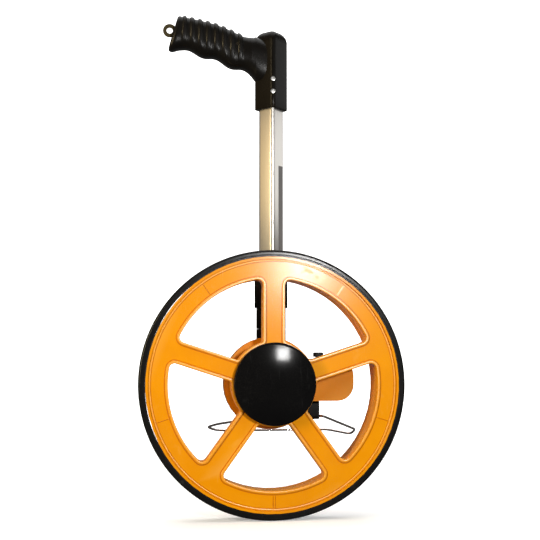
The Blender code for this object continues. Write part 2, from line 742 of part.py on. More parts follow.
def make_gears(plastic, steel, hub):
    """The drive gear on the wheel, the idler on its pin and the counter's pinion."""
    drive_front = RIM_BACK + FIT
    screw_holes = [circle(SCREW_RADIUS + FIT, SCREW_SIDES, place) for place in gear_screw_places()]
    drive = prism(gear_outline(DRIVE_TEETH, MODULE), drive_front, GEAR_BACK,
                  [circle(DRIVE_BORE, SMALL_SIDES), *screw_holes])
    piece("drive_gear", along_y(drive), plastic, None, hub)
    copies("gear_screw", along_y(pan_screw(GEAR_SCREW_LENGTH)), steel,
           [(x, GEAR_BACK + FIT, AXLE_HEIGHT + z) for x, z in gear_screw_places()])

    idler_place = (IDLER_X, 0, AXLE_HEIGHT)
    idler = prism(gear_outline(IDLER_TEETH, MODULE, pi / IDLER_TEETH), GEAR_FRONT, GEAR_BACK,
                  [circle(IDLER_PIN_RADIUS + FIT, SMALL_SIDES)])
    piece("idler_gear", along_y(idler), plastic, None, idler_place)
    pin = rod(IDLER_PIN_RADIUS, GEAR_FRONT, PLATE_BACK, SMALL_SIDES)
    piece("idler_pin", along_y(pin), steel, None, idler_place)

    counter_place = (COUNTER_X, 0, COUNTER_HEIGHT)
    pinion = prism(gear_outline(PINION_TEETH, MODULE, COUNTER_CLIMB + pi), GEAR_FRONT, GEAR_BACK,
                   [circle(COUNTER_SHAFT_RADIUS + FIT, SMALL_SIDES)])
    piece("counter_pinion", along_y(pinion), plastic, None, counter_place)
    shaft = rod(COUNTER_SHAFT_RADIUS, GEAR_FRONT, BOX_BACK - CASE_WALL - FIT, SMALL_SIDES)
    piece("counter_shaft", along_y(shaft), steel, None, counter_place)


# Gear case and counter box, about the axle

def case_outline(inset):
    """The case from the front: a disc round the hub that runs out into the counter's box."""
    radius = CASE_RADIUS - inset
    top = BOX_ABOVE_AXLE - inset
    bottom = -BOX_BELOW_AXLE + inset
    right = BOX_RIGHT - inset
    corner = BOX_CORNER - inset
    start = atan2(top, sqrt(radius * radius - top * top))
    end = tau + atan2(bottom, sqrt(radius * radius - bottom * bottom))
    points = arc((0, 0), radius, start, end, CASE_SIDES * 3 // 4)
    points += arc((right - corner, bottom + corner), corner, -pi / 2, 0, 6)
    points += arc((right - corner, top - corner), corner, 0, pi / 2, 6)
    return points


def box_outline(inset):
    """The counter's box from the front, round at its right side."""
    left = BOX_LEFT + inset
    top = BOX_ABOVE_AXLE - inset
    bottom = -BOX_BELOW_AXLE + inset
    right = BOX_RIGHT - inset
    corner = BOX_CORNER - inset
    small = BOX_INNER_CORNER
    points = arc((left + small, top - small), small, pi / 2, pi, 2)
    points += arc((left + small, bottom + small), small, pi, 3 * pi / 2, 2)
    points += arc((right - corner, bottom + corner), corner, -pi / 2, 0, 6)
    points += arc((right - corner, top - corner), corner, 0, pi / 2, 6)
    return points


def box_posts():
    """Where the counter box's three screws go, as (x, z) from the axle, clear of the idler gear."""
    inset = CASE_WALL + POST_RADIUS * POST_INSET_SHARE
    slant = (BOX_CORNER - inset) * sin(pi / 4)
    right = BOX_RIGHT - BOX_CORNER + slant
    return (
        (BOX_LEFT + inset, BOX_ABOVE_AXLE - inset),
        (right, BOX_ABOVE_AXLE - BOX_CORNER + slant),
        (right, -BOX_BELOW_AXLE + BOX_CORNER - slant),
    )


def case_screw_places():
    """Where the back plate's screws go, as (x, z) from the axle."""
    circle_radius = CASE_RADIUS - CASE_WALL - POST_RADIUS * POST_INSET_SHARE
    return [on_circle(circle_radius, angle) for angle in CASE_SCREW_ANGLES]


def make_gear_case(orange, black, steel, hub):
    """The fixed case behind the hub, its back plate and the screws between them."""
    places = case_screw_places() + list(box_posts())
    clear = SCREW_RADIUS + FIT
    case = piece("gear_case", along_y(prism(case_outline(0), CASE_FRONT, CASE_BACK)), orange, None, hub)
    pocket = prism(case_outline(CASE_WALL), CASE_FRONT + CASE_FACE, CASE_BACK + OVERRUN)
    mouth = rod(CASE_MOUTH, CASE_FRONT - OVERRUN, CASE_BACK, CASE_SIDES)
    boolean(case, "DIFFERENCE", [along_y(pocket), along_y(mouth)])
    post = post_shape(CASE_FRONT + CASE_FACE / 2, CASE_BACK, CASE_DEPTH - CASE_FACE)
    boolean(case, "UNION", [along_y(shifted(post, x, z)) for x, z in places])

    plate_holes = [
        circle(AXLE_RADIUS + FIT, SMALL_SIDES),
        circle(IDLER_PIN_RADIUS + FIT, SMALL_SIDES, (IDLER_X, 0)),
        circle(COUNTER_SHAFT_RADIUS + FIT, SMALL_SIDES, (COUNTER_X, COUNTER_RISE)),
    ]
    plate_holes += [circle(clear, SCREW_SIDES, place) for place in places]
    plate = prism(case_outline(0), PLATE_FRONT, PLATE_BACK, plate_holes)
    piece("case_back_plate", along_y(plate), black, None, hub)
    copies("case_screw", along_y(pan_screw(PLATE_SCREW_LENGTH)), steel,
           [(x, PLATE_BACK + FIT, AXLE_HEIGHT + z) for x, z in case_screw_places()])


def drum_places():
    """Name, front and back of each number drum along Y."""
    room = BOX_BACK - CASE_WALL - PLATE_BACK
    used = INCH_DRUM_WIDTH + len(FEET_DRUM_NAMES) * (FEET_DRUM_WIDTH + DRUM_GAP)
    front = PLATE_BACK + (room - used) / 2
    places = [("inch_drum", front, front + INCH_DRUM_WIDTH)]
    front += INCH_DRUM_WIDTH + DRUM_GAP
    for name in FEET_DRUM_NAMES:
        places.append((f"feet_drum_{name}", front, front + FEET_DRUM_WIDTH))
        front += FEET_DRUM_WIDTH + DRUM_GAP
    return places


def transfer_x():
    """How far the carry pinions' shaft lies from the axle along X."""
    tip = TRANSFER_TEETH * TRANSFER_MODULE / 2 + TOOTH_ADDENDUM_SHARE * TRANSFER_MODULE
    return COUNTER_X - DRUM_RADIUS - tip - 2 * FIT


def make_counter_box(orange, steel, hub):
    """The box behind the plate that holds the number drums, open toward the plate."""
    back = BOX_BACK
    box = piece("counter_box", along_y(prism(box_outline(0), BLOCK_FRONT, back)), orange, None, hub)
    pocket = prism(box_outline(CASE_WALL), BLOCK_FRONT - OVERRUN, back - CASE_WALL)
    boolean(box, "DIFFERENCE", [along_y(pocket)])
    posts = [
        along_y(shifted(rod(POST_RADIUS, BLOCK_FRONT, back - CASE_WALL / 2, SMALL_SIDES // 2), x, z))
        for x, z in box_posts()]
    boolean(box, "UNION", posts)
    drums = drum_places()
    top = BOX_ABOVE_AXLE
    slot = prism(
        rounded_box(COUNTER_X - WINDOW_WIDTH / 2, COUNTER_X + WINDOW_WIDTH / 2, drums[0][1], drums[-1][2],
                    RESET_EDGE, 2),
        top - CASE_WALL - OVERRUN, top + OVERRUN)
    reset_hole = shifted(
        rod(RESET_STEM_RADIUS + FIT, top - CASE_WALL - OVERRUN, top + OVERRUN, SMALL_SIDES // 2),
        RESET_X, reset_y())
    holes = [
        along_y(shifted(rod(SCREW_RADIUS + FIT, BLOCK_FRONT - OVERRUN, back + OVERRUN, SCREW_SIDES), x, z))
        for x, z in box_posts()]
    inside = back - CASE_WALL
    socket = rod(TRANSFER_SHAFT_RADIUS + FIT, inside - OVERRUN, back - CASE_WALL / 2, SMALL_SIDES // 2)
    shaft_hole = along_y(shifted(socket, transfer_x(), COUNTER_RISE))
    bracket_x, bracket_y = bracket_screw_places()[1]
    bottom = -BOX_BELOW_AXLE
    bracket_hole = shifted(
        rod(SCREW_RADIUS + FIT, bottom - OVERRUN, bottom + CASE_WALL + OVERRUN, SCREW_SIDES),
        bracket_x, bracket_y)
    boolean(box, "DIFFERENCE", [slot, reset_hole, shaft_hole, bracket_hole, *holes])
    copies("counter_screw", along_y(pan_screw(back - GEAR_FRONT)), steel,
           [(x, back + FIT, AXLE_HEIGHT + z) for x, z in box_posts()])


def make_counter(white, dark, steel, clear, hub):
    """Number drums, carry pinions on their shaft and the window over the drums."""
    drums = drum_places()
    for name, front, back in drums:
        flats = INCHES if name == "inch_drum" else DIGITS
        drum = ring(COUNTER_SHAFT_RADIUS + FIT, DRUM_RADIUS, front, back, flats)
        piece(name, along_y(drum), white, None, (COUNTER_X, 0, COUNTER_HEIGHT))
    place = (transfer_x(), 0, COUNTER_HEIGHT)
    for name, (_, _, back) in zip(FEET_DRUM_NAMES, drums):
        front = back - FEET_DRUM_WIDTH / 3
        end = front + FEET_DRUM_WIDTH * 2 / 3
        pinion = prism(gear_outline(TRANSFER_TEETH, TRANSFER_MODULE), front, end,
                       [circle(TRANSFER_SHAFT_RADIUS + FIT, SMALL_SIDES // 2)])
        piece(f"carry_pinion_{name}", along_y(pinion), dark, None, place)
    shaft = rod(TRANSFER_SHAFT_RADIUS, PLATE_BACK + FIT, BOX_BACK - CASE_WALL + FIT, SMALL_SIDES // 2)
    piece("carry_shaft", along_y(shaft), steel, None, place)
    edge = FIT
    lens = prism(
        rounded_box(COUNTER_X - WINDOW_WIDTH / 2 + edge, COUNTER_X + WINDOW_WIDTH / 2 - edge,
                    drums[0][1] + edge, drums[-1][2] - edge, RESET_EDGE - edge, 2),
        BOX_ABOVE_AXLE - CASE_WALL / 3 - WINDOW_LENS, BOX_ABOVE_AXLE - CASE_WALL / 3)
    piece("counter_window", lens, clear, None, hub)


def reset_y():
    """The reset button's place along Y, over the middle of the drums."""
    return (BLOCK_FRONT + BOX_BACK) / 2


def make_reset(black, steel):
    """The button that sets the counter back to zero, with its spring."""
    half = RESET_SIZE / 2
    under = RESET_TRAVEL + 2 * RESET_SPRING_WIRE + FIT
    place = (RESET_X, reset_y(), BOX_TOP)
    key = rounded_box(-half, half, -half, half, RESET_EDGE, 2)
    inner = rounded_box(-half + RESET_EDGE, half - RESET_EDGE, -half + RESET_EDGE, half - RESET_EDGE,
                        RESET_EDGE / 2, 2)
    top = under + RESET_HEIGHT
    levels = ((key, under), (key, top - RESET_EDGE), (inner, top))
    button = piece("reset_button", loft([[(x, y, z) for x, y in outline] for outline, z in levels]),
                   black, None, place)
    stem = rod(RESET_STEM_RADIUS, under - RESET_STEM_LENGTH, under + RESET_EDGE, SMALL_SIDES // 2)
    boolean(button, "UNION", [stem])

    steps_in_a_turn = 10
    steps = steps_in_a_turn * RESET_SPRING_TURNS
    low = FIT + RESET_SPRING_WIRE
    high = under - FIT - RESET_SPRING_WIRE
    curve = bpy.data.curves.new("reset_spring", "CURVE")
    curve.dimensions = "3D"
    curve.bevel_depth = RESET_SPRING_WIRE
    curve.bevel_resolution = 1
    curve.use_fill_caps = True
    wire = curve.splines.new("POLY")
    wire.points.add(steps)
    for i, point in enumerate(wire.points):
        angle = tau * RESET_SPRING_TURNS * i / steps
        point.co = (RESET_SPRING_RADIUS * cos(angle), RESET_SPRING_RADIUS * sin(angle),
                    low + (high - low) * i / steps, 1)
    curve.materials.append(steel)
    spring = bpy.data.objects.new("reset_spring", curve)
    bpy.context.scene.collection.objects.link(spring)
    spring.location = place


# Stem and pole. The pole's frame is turned so that a corner of the square tubes faces the front

def make_stem(black, steel, pole):
    """The socket that holds the pole's foot, with the block that carries the axle."""
    stem = piece("stem", prism(square(STEM_SIDE, STEM_CORNER), BOX_BOTTOM, STEM_TOP), black, pole)
    half = STEM_BLOCK_HALF_WIDTH
    block = prism(
        rounded_box(POLE_X - half, POLE_X + half, BOX_BOTTOM, AXLE_HEIGHT + STEM_BLOCK_ABOVE_AXLE,
                    STEM_BLOCK_CORNER),
        BLOCK_FRONT, BLOCK_BACK)
    boolean(stem, "UNION", [along_y(block)], turn_with_target=False)
    bore = along_y(shifted(
        rod(AXLE_RADIUS + FIT, BLOCK_FRONT - OVERRUN, POLE_Y + STEM_SIDE, SMALL_SIDES), 0, AXLE_HEIGHT))
    trim = along_y(prism(
        rounded_box(POLE_X - half, POLE_X + half, BOX_BOTTOM - OVERRUN, AXLE_HEIGHT + STEM_BLOCK_ABOVE_AXLE,
                    STEM_BLOCK_CORNER),
        BLOCK_BACK, POLE_Y + STEM_SIDE))
    bite = BRACKET_SCREW_LENGTH - BRACKET_HOLD + FIT
    bracket_hole = rod(SCREW_RADIUS + FIT, BOX_BOTTOM - OVERRUN, BOX_BOTTOM + bite, SCREW_SIDES)
    bracket_holes = [shifted(bracket_hole, x, y) for x, y in bracket_screw_places()]
    boolean(stem, "DIFFERENCE", [bore, trim, *bracket_holes], turn_with_target=False)
    socket = prism(square(INNER_SIDE + 2 * FIT, TUBE_CORNER), STEM_SOCKET_BOTTOM, STEM_TOP + OVERRUN)
    reach = STEM_SIDE / 2 + OVERRUN
    screw_holes = [
        shifted(along_x(rod(SCREW_RADIUS + FIT, 0, reach, SCREW_SIDES)), 0, 0, height)
        for height in STEM_SCREW_HEIGHTS]
    boolean(stem, "DIFFERENCE", [socket, *screw_holes])
    length = (STEM_SIDE - INNER_SIDE) / 2 + TUBE_WALL
    copies("stem_screw", along_x(pan_screw(length)), steel,
           [(STEM_SIDE / 2 + FIT, 0, height) for height in STEM_SCREW_HEIGHTS], pole)


def make_tube(name, side, bottom, top, material, pole, cuts=()):
    """A square tube with thin walls."""
    outline = square(side, TUBE_CORNER)
    hole = square(side - 2 * TUBE_WALL, TUBE_CORNER - TUBE_WALL)
    tube = piece(name, prism(outline, bottom, top, [hole]), material, pole)
    if cuts:
        boolean(tube, "DIFFERENCE", cuts)


def make_plug(name, side, top, material, pole):
    """The plastic plug that closes the upper end of a tube and guides it in the next one."""
    head = prism(square(side, TUBE_CORNER), top + FIT, top + FIT + PLUG_HEAD)
    spigot_side = side - 2 * (TUBE_WALL + FIT)
    spigot = prism(square(spigot_side, PLUG_GRIP), top - PLUG_SPIGOT, top + FIT + PLUG_HEAD / 2)
    plug = piece(name, head, material, pole)
    boolean(plug, "UNION", [spigot])


def make_collar(name, side, height, bottom, tube_side, material, pole, slide):
    """The collar at a tube's lower end, with a shoulder under the tube and a hole for its button."""
    top = bottom + height
    levels = ((side - 2 * COLLAR_EDGE, bottom), (side, bottom + COLLAR_EDGE), (side, top - COLLAR_EDGE),
              (side - 2 * COLLAR_EDGE, top))
    skin = loft([[(x, y, z) for x, y in square(width, STEM_CORNER)] for width, z in levels])
    collar = piece(name, skin, material, pole)
    bore = square(tube_side - 2 * TUBE_WALL, TUBE_CORNER - TUBE_WALL)
    passage = prism(bore, bottom - OVERRUN, top + OVERRUN)
    seat = prism(square(tube_side + 2 * FIT, TUBE_CORNER), bottom + COLLAR_SHOULDER, top + OVERRUN)
    button_height = (bottom + COLLAR_SHOULDER + top) / 2
    hole = shifted(along_y(rod(BUTTON_RADIUS + FIT, 0, side, SMALL_SIDES // 2)), 0, 0, button_height)
    boolean(collar, "DIFFERENCE", [passage, seat, hole])
    inner = tube_side / 2 + FIT
    outer = side / 2 + BUTTON_OUT
    button = turned(
        [(0, inner), (BUTTON_RADIUS, inner), (BUTTON_RADIUS, outer - BUTTON_EDGE),
         (BUTTON_RADIUS - BUTTON_EDGE, outer), (0, outer)],
        SMALL_SIDES // 2)
    piece(slide, along_y(button), material, pole, (0, 0, button_height))
    return shifted(along_y(rod(BUTTON_RADIUS + FIT, 0, side, SMALL_SIDES // 2)), 0, 0, button_height)


def handle_screw_bores(radius):
    """Round cuts along Y for the handle's screws, in the pole's turned frame."""
    bores = []
    for height in HANDLE_SCREW_HEIGHTS:
        bore = shifted(along_y(rod(radius, -COLUMN_SIDE, COLUMN_SIDE, SCREW_SIDES)), 0, 0, height)
        bores.append(moved(bore, Matrix.Rotation(-POLE_TURN, 4, "Z")))
    return bores


def make_pole(aluminium, black, pole):
    """Three tubes that slide in each other, their plugs and their collars."""
    make_tube("inner_tube", INNER_SIDE, STEM_SOCKET_BOTTOM + FIT, INNER_TOP, aluminium, pole, [
        shifted(along_x(rod(SCREW_RADIUS + FIT, 0, STEM_SIDE, SCREW_SIDES)), 0, 0, height)
        for height in STEM_SCREW_HEIGHTS])
    make_plug("inner_tube_plug", INNER_SIDE, INNER_TOP, black, pole)
    hole = make_collar("lower_collar", STEM_SIDE, LOWER_COLLAR_HEIGHT, LOWER_COLLAR_BOTTOM,
                       MIDDLE_SIDE, black, pole, "lower_lock_button")
    make_tube("middle_tube", MIDDLE_SIDE, MIDDLE_BOTTOM, MIDDLE_TOP, aluminium, pole, [hole])
    make_plug("middle_tube_plug", MIDDLE_SIDE, MIDDLE_TOP, black, pole)
    hole = make_collar("upper_collar", UPPER_COLLAR_SIDE, UPPER_COLLAR_HEIGHT, UPPER_COLLAR_BOTTOM,
                       OUTER_SIDE, black, pole, "upper_lock_button")
    bores = handle_screw_bores(SCREW_RADIUS + FIT)
    make_tube("outer_tube", OUTER_SIDE, OUTER_BOTTOM, OUTER_TOP, aluminium, pole, [hole, *bores])


# Handle, in the world's frame

def column_skin():
    """The upright part, square and turned like the pole, with a domed top."""
    dome = COLUMN_TOP - COLUMN_SHOULDER
    sections = [(COLUMN_SIDE, COLUMN_CORNER, COLUMN_BOTTOM), (COLUMN_SIDE, COLUMN_CORNER, COLUMN_SHOULDER)]
    steps = 4
    for i in range(1, steps + 1):
        rise = sin(pi / 2 * i / steps)
        width = COLUMN_SIDE * (1 - DOME_NARROWING_SHARE * (1 - cos(pi / 2 * i / steps)))
        sections.append((width, COLUMN_CORNER, COLUMN_SHOULDER + dome * rise))
    skin = loft([[(x, y, z) for x, y in square(side, corner)] for side, corner, z in sections])
    return moved(skin, Matrix.Translation((POLE_X, POLE_Y, 0)) @ Matrix.Rotation(POLE_TURN, 4, "Z"))


def grip_middle(x):
    """The height of the grip's middle line at a place along X."""
    share = (POLE_X - x) / GRIP_LENGTH
    return GRIP_ROOT_HEIGHT + (POLE_X - x) * tan(GRIP_DROP) + 4 * GRIP_ARCH * share * (1 - share)


def grip_section(along, margin, ribbed):
    """One upright outline of the grip, `along` metres in from its end, thinner by `margin`."""
    x = POLE_X - GRIP_LENGTH + along
    middle = grip_middle(x)
    drop = GRIP_HEEL * max(0.0, 1 - along / GRIP_HEEL_LENGTH) ** 2
    wave = GRIP_WAVE * cos(tau * GRIP_WAVE_COUNT * along / (GRIP_LENGTH - COLUMN_SIDE / 2))
    height = GRIP_HEIGHT - GRIP_TAPER * along / GRIP_LENGTH
    lean = GRIP_END_LEAN * max(0.0, 1 - along / GRIP_HEEL_LENGTH / 2) ** 2
    ends = min(1.0, along / GRIP_END_ROUND)
    rounding = GRIP_END_ROUND * (1 - sqrt(max(0.0, 1 - (1 - ends) ** 2)))
    points = []
    for i in range(GRIP_SECTION_SIDES):
        angle = tau * (i + 0.5) / GRIP_SECTION_SIDES
        side = abs(cos(angle)) ** (2 / GRIP_SQUARENESS) * (1 if cos(angle) > 0 else -1)
        up = abs(sin(angle)) ** (2 / GRIP_SQUARENESS) * (1 if sin(angle) > 0 else -1)
        valley = RIB_DEPTH * min(1.0, max(0.0, up + RIB_REACH_SHARE)) if ribbed == "valley" else 0.0
        inset = margin + rounding + valley
        half_height = height / 2 - inset
        if up < 0:
            half_height += drop + wave
        z = up * half_height
        points.append((x + lean * z, POLE_Y + side * (GRIP_DEPTH / 2 - inset), middle + z))
    return points


def grip_skin():
    """The ribbed grip: upright ribs on its top and sides, finger grooves along its bottom."""
    sections = [grip_section(along, 0.0, "valley")
                for along in (0.0, GRIP_END_ROUND / 3, GRIP_END_ROUND)]
    for number in range(RIB_COUNT):
        middle = RIB_FIRST + RIB_PITCH * number
        foot_in, top_in, top_out, foot_out = (middle + RIB_PITCH * share for share in RIB_STEP_SHARES)
        sections.append(grip_section(foot_in, 0.0, "valley"))
        sections.append(grip_section(top_in, 0.0, "crest"))
        sections.append(grip_section(top_out, 0.0, "crest"))
        sections.append(grip_section(foot_out, 0.0, "valley"))
    sections.append(grip_section(GRIP_LENGTH - COLUMN_SIDE / 4, 0.0, "crest"))
    return loft(sections)


def grip_hollow():
    """The space inside the grip."""
    return loft([grip_section(along, HANDLE_WALL, "crest")
                 for along in (EYE_TAB + HANDLE_WALL, GRIP_LENGTH / 2, GRIP_LENGTH - COLUMN_SIDE)])


def eye_shape(grow):
    """The hanging eye with its tab, larger by `grow` all round."""
    x, z = eye_centre()
    radius = EYE_RADIUS + grow
    half = EYE_TAB_HEIGHT / 2 + grow
    start = atan2(half, sqrt(radius * radius - half * half))
    outline = arc((x, z), radius, start, tau - start, SMALL_SIDES)
    outline += [(x + EYE_TAB + grow, z - half), (x + EYE_TAB + grow, z + half)]
    hole = [] if grow else [circle(EYE_HOLE, SMALL_SIDES, (x, z))]
    low = POLE_Y - EYE_THICKNESS / 2 - grow
    return along_y(prism(outline, low, low + EYE_THICKNESS + 2 * grow, hole))


def eye_centre():
    """The middle of the eye's hole, as (x, z)."""
    x = POLE_X - GRIP_LENGTH
    return x - EYE_OUT, grip_middle(x)


def make_handle(black, steel):
    """Two half shells, split across the wheel's line of travel, and the screws through the tube."""
    socket = prism(square(OUTER_SIDE + 2 * FIT, TUBE_CORNER), COLUMN_BOTTOM - OVERRUN, OUTER_TOP + FIT)
    turn = Matrix.Rotation(POLE_TURN, 4, "Z")
    socket = moved(socket, Matrix.Translation((POLE_X, POLE_Y, 0)) @ turn)
    corner = COLUMN_SIDE / sqrt(2) - COLUMN_CORNER * (sqrt(2) - 1)
    seat = POLE_Y - corner + HANDLE_SCREW_SEAT
    end = seat + HANDLE_SCREW_LENGTH + FIT
    bore = along_y(rod(SCREW_RADIUS + FIT, seat - OVERRUN, end, SCREW_SIDES))
    recess = along_y(rod(SCREW_HEAD_RADIUS + FIT, POLE_Y - COLUMN_SIDE, seat, SMALL_SIDES // 2))
    bores = [shifted(bore, POLE_X, 0, height) for height in HANDLE_SCREW_HEIGHTS]
    seats = [shifted(recess, POLE_X, 0, height) for height in HANDLE_SCREW_HEIGHTS]
    reach = GRIP_LENGTH * 2
    for name, low, high in (
        ("handle_front_shell", POLE_Y - FIT / 2, POLE_Y + reach),
        ("handle_back_shell", POLE_Y - reach, POLE_Y + FIT / 2),
    ):
        shell = piece(name, column_skin(), black)
        boolean(shell, "UNION", [grip_skin()])
        away = prism([(POLE_X - reach, -reach), (POLE_X + reach, -reach), (POLE_X + reach, reach),
                      (POLE_X - reach, reach)], low, high)
        away = shifted(along_y(away), 0, 0, COLUMN_TOP)
        boolean(shell, "DIFFERENCE", [socket, grip_hollow(), eye_shape(FIT), *bores, *seats])
        boolean(shell, "DIFFERENCE", [away])
    copies("handle_screw", moved(pan_screw(HANDLE_SCREW_LENGTH), Matrix.Rotation(pi / 2, 4, "X")), steel,
           [(POLE_X, seat - FIT, height) for height in HANDLE_SCREW_HEIGHTS])
    piece("hanging_eye", eye_shape(0), steel)


# Wire stand

def bracket_screw_places():
    """The bracket's screws, one up into the stem and one up into the counter box, as (x, y)."""
    return (((BRACKET_LEFT + POLE_X + STEM_BLOCK_HALF_WIDTH) / 2, PIVOT_Y - BRACKET_SCREW_SETBACK),
            ((BRACKET_RIGHT + BOX_LEFT) / 2, PIVOT_Y - BRACKET_SCREW_SETBACK))


def make_stand(black, wire_metal, steel):
    """The bracket under the stem and the counter box, and the wire stand that swings in it."""
    low = PIVOT_HEIGHT - BRACKET_UNDER_PIVOT
    high = BOX_BOTTOM - FIT
    front = PIVOT_Y - BRACKET_DEPTH / 2
    outline = rounded_box(front, front + BRACKET_DEPTH, low, high, BRACKET_CORNER)
    bracket = piece("stand_bracket", along_x(prism(outline, BRACKET_LEFT, BRACKET_RIGHT)), black)
    bore = rod(STAND_WIRE + FIT, BRACKET_LEFT - OVERRUN, BRACKET_RIGHT + OVERRUN, SMALL_SIDES // 2)
    bore = along_x(shifted(bore, PIVOT_Y, PIVOT_HEIGHT))
    cuts = [bore]
    for x, y in bracket_screw_places():
        cuts.append(shifted(rod(SCREW_RADIUS + FIT, low - OVERRUN, high + OVERRUN, SCREW_SIDES), x, y))
        recess = rod(SCREW_HEAD_RADIUS + FIT, low - OVERRUN, BRACKET_SCREW_SEAT, SMALL_SIDES // 2)
        cuts.append(shifted(recess, x, y))
    boolean(bracket, "DIFFERENCE", cuts)
    copies("bracket_screw", moved(pan_screw(BRACKET_SCREW_LENGTH), Matrix.Rotation(pi, 4, "X")), steel,
           [(x, y, BRACKET_SCREW_SEAT - FIT) for x, y in bracket_screw_places()])

    frame = pivot("stand_pivot", (0, PIVOT_Y, PIVOT_HEIGHT), turn=(-STAND_SLOPE, 0, 0))
    left_neck = BRACKET_LEFT - STAND_NECK
    right_neck = BRACKET_RIGHT + STAND_NECK
    knee = STAND_REACH * STAND_ARM_SHARE
    points = bent_path((
        (left_neck, 0.0, STAND_NECK_BEND),
        (right_neck, 0.0, STAND_NECK_BEND),
        (STAND_RIGHT, knee, STAND_BEND),
        (STAND_RIGHT, STAND_REACH, STAND_BEND),
        (STAND_LEFT, STAND_REACH, STAND_BEND),
        (STAND_LEFT, knee, STAND_BEND),
    ))
    curve = bpy.data.curves.new("stand_wire", "CURVE")
    curve.dimensions = "3D"
    curve.bevel_depth = STAND_WIRE
    curve.bevel_resolution = 2
    wire = curve.splines.new("POLY")
    wire.points.add(len(points) - 1)
    for point, (x, y) in zip(wire.points, points):
        point.co = (x, y, 0, 1)
    wire.use_cyclic_u = True
    curve.materials.append(wire_metal)
    stand = bpy.data.objects.new("stand_wire", curve)
    bpy.context.scene.collection.objects.link(stand)
    stand.parent = frame


def bent_path(corners):
    """A closed path through corners (x, y, bend), each rounded off over the length of its bend."""
    points = []
    count = len(corners)
    for i, (x, y, bend) in enumerate(corners):
        here = Vector((x, y))
        before = Vector(corners[i - 1][:2]) - here
        after = Vector(corners[(i + 1) % count][:2]) - here
        start = here + before.normalized() * bend
        end = here + after.normalized() * bend
        steps = 4
        for j in range(steps + 1):
            share = j / steps
            rest = 1 - share
            points.append(tuple(start * rest ** 2 + here * 2 * share * rest + end * share ** 2))
    return points


def main():
    for thing in list(bpy.data.objects):
        bpy.data.objects.remove(thing, do_unlink=True)
    orange = finish("orange_plastic", (0.9, 0.33, 0.012), 0.32)
    black = finish("black_plastic", (0.013, 0.013, 0.014), 0.3)
    rubber = finish("tyre_rubber", (0.018, 0.019, 0.021), 0.62)
    grip = finish("grip_plastic", (0.012, 0.012, 0.013), 0.38)
    aluminium = finish("aluminium", (0.72, 0.71, 0.69), 0.32, 1.0)
    steel = finish("zinc_steel", (0.62, 0.61, 0.6), 0.28, 1.0)
    wire_metal = finish("dark_chrome_wire", (0.32, 0.28, 0.25), 0.22, 1.0)
    natural = finish("gear_plastic", (0.78, 0.77, 0.72), 0.42)
    white = finish("drum_white", (0.8, 0.8, 0.78), 0.45)
    clear = finish("clear_plastic", (0.9, 0.92, 0.93), 0.08, 0.0, 0.35)

    hub = (0, 0, AXLE_HEIGHT)
    make_tyre(rubber, hub)
    make_wheel_disc(orange, hub)
    make_hub_cap(black, hub)
    sleeve, bearing_back = make_bearings(steel, hub)
    make_axle(steel, hub, sleeve, bearing_back)
    make_gears(natural, steel, hub)
    make_gear_case(orange, black, steel, hub)
    make_counter_box(orange, steel, hub)
    make_counter(white, natural, steel, clear, hub)
    make_reset(black, steel)
    pole = pivot("pole_frame", (POLE_X, POLE_Y, 0), turn=(0, 0, POLE_TURN))
    make_stem(black, steel, pole)
    make_pole(aluminium, black, pole)
    make_handle(grip, steel)
    make_stand(black, wire_metal, steel)


main()
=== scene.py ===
import json
import math

import bmesh
import bpy
import numpy as np
from mathutils import Matrix, Vector

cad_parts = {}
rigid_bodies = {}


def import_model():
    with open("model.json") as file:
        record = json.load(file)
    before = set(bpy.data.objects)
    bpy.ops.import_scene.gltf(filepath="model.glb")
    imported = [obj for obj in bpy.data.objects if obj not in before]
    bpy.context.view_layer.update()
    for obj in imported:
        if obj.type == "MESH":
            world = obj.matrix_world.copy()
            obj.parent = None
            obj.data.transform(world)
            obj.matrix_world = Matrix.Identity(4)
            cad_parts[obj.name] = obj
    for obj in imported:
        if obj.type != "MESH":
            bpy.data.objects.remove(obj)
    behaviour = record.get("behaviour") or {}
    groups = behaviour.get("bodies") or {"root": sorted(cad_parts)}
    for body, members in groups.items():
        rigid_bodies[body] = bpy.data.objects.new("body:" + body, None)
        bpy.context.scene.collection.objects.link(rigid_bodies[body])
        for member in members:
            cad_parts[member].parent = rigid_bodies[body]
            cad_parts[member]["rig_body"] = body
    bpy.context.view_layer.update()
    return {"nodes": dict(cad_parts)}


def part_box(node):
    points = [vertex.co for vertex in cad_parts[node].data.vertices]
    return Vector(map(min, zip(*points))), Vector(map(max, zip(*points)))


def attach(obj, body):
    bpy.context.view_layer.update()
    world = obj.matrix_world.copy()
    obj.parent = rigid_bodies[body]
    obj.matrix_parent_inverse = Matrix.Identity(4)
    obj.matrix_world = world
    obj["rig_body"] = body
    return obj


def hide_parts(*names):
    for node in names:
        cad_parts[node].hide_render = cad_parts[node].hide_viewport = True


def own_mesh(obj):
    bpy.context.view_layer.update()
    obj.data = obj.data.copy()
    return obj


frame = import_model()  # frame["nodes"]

nodes = frame["nodes"]
print("frame loaded:", len(nodes), "pieces")


# Places that several pieces share, in metres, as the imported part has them

def middleOf(node):
    low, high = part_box(node)
    return (low + high) / 2


axle = middleOf("tyre")
counter = middleOf("inch_drum")
pole = middleOf("outer_tube")
halfGap = 0.00015  # half of the line between the two halves of the handle


# Meshes from whole arrays

def newObject(name, data):
    made = bpy.data.objects.new(name, data)
    bpy.context.scene.collection.objects.link(made)
    return made


def smoothed(mesh, angle):
    # smooth faces, with an edge kept sharp where it turns by more than the angle
    mesh.shade_smooth()
    mesh.set_sharp_from_angle(angle=math.radians(angle))


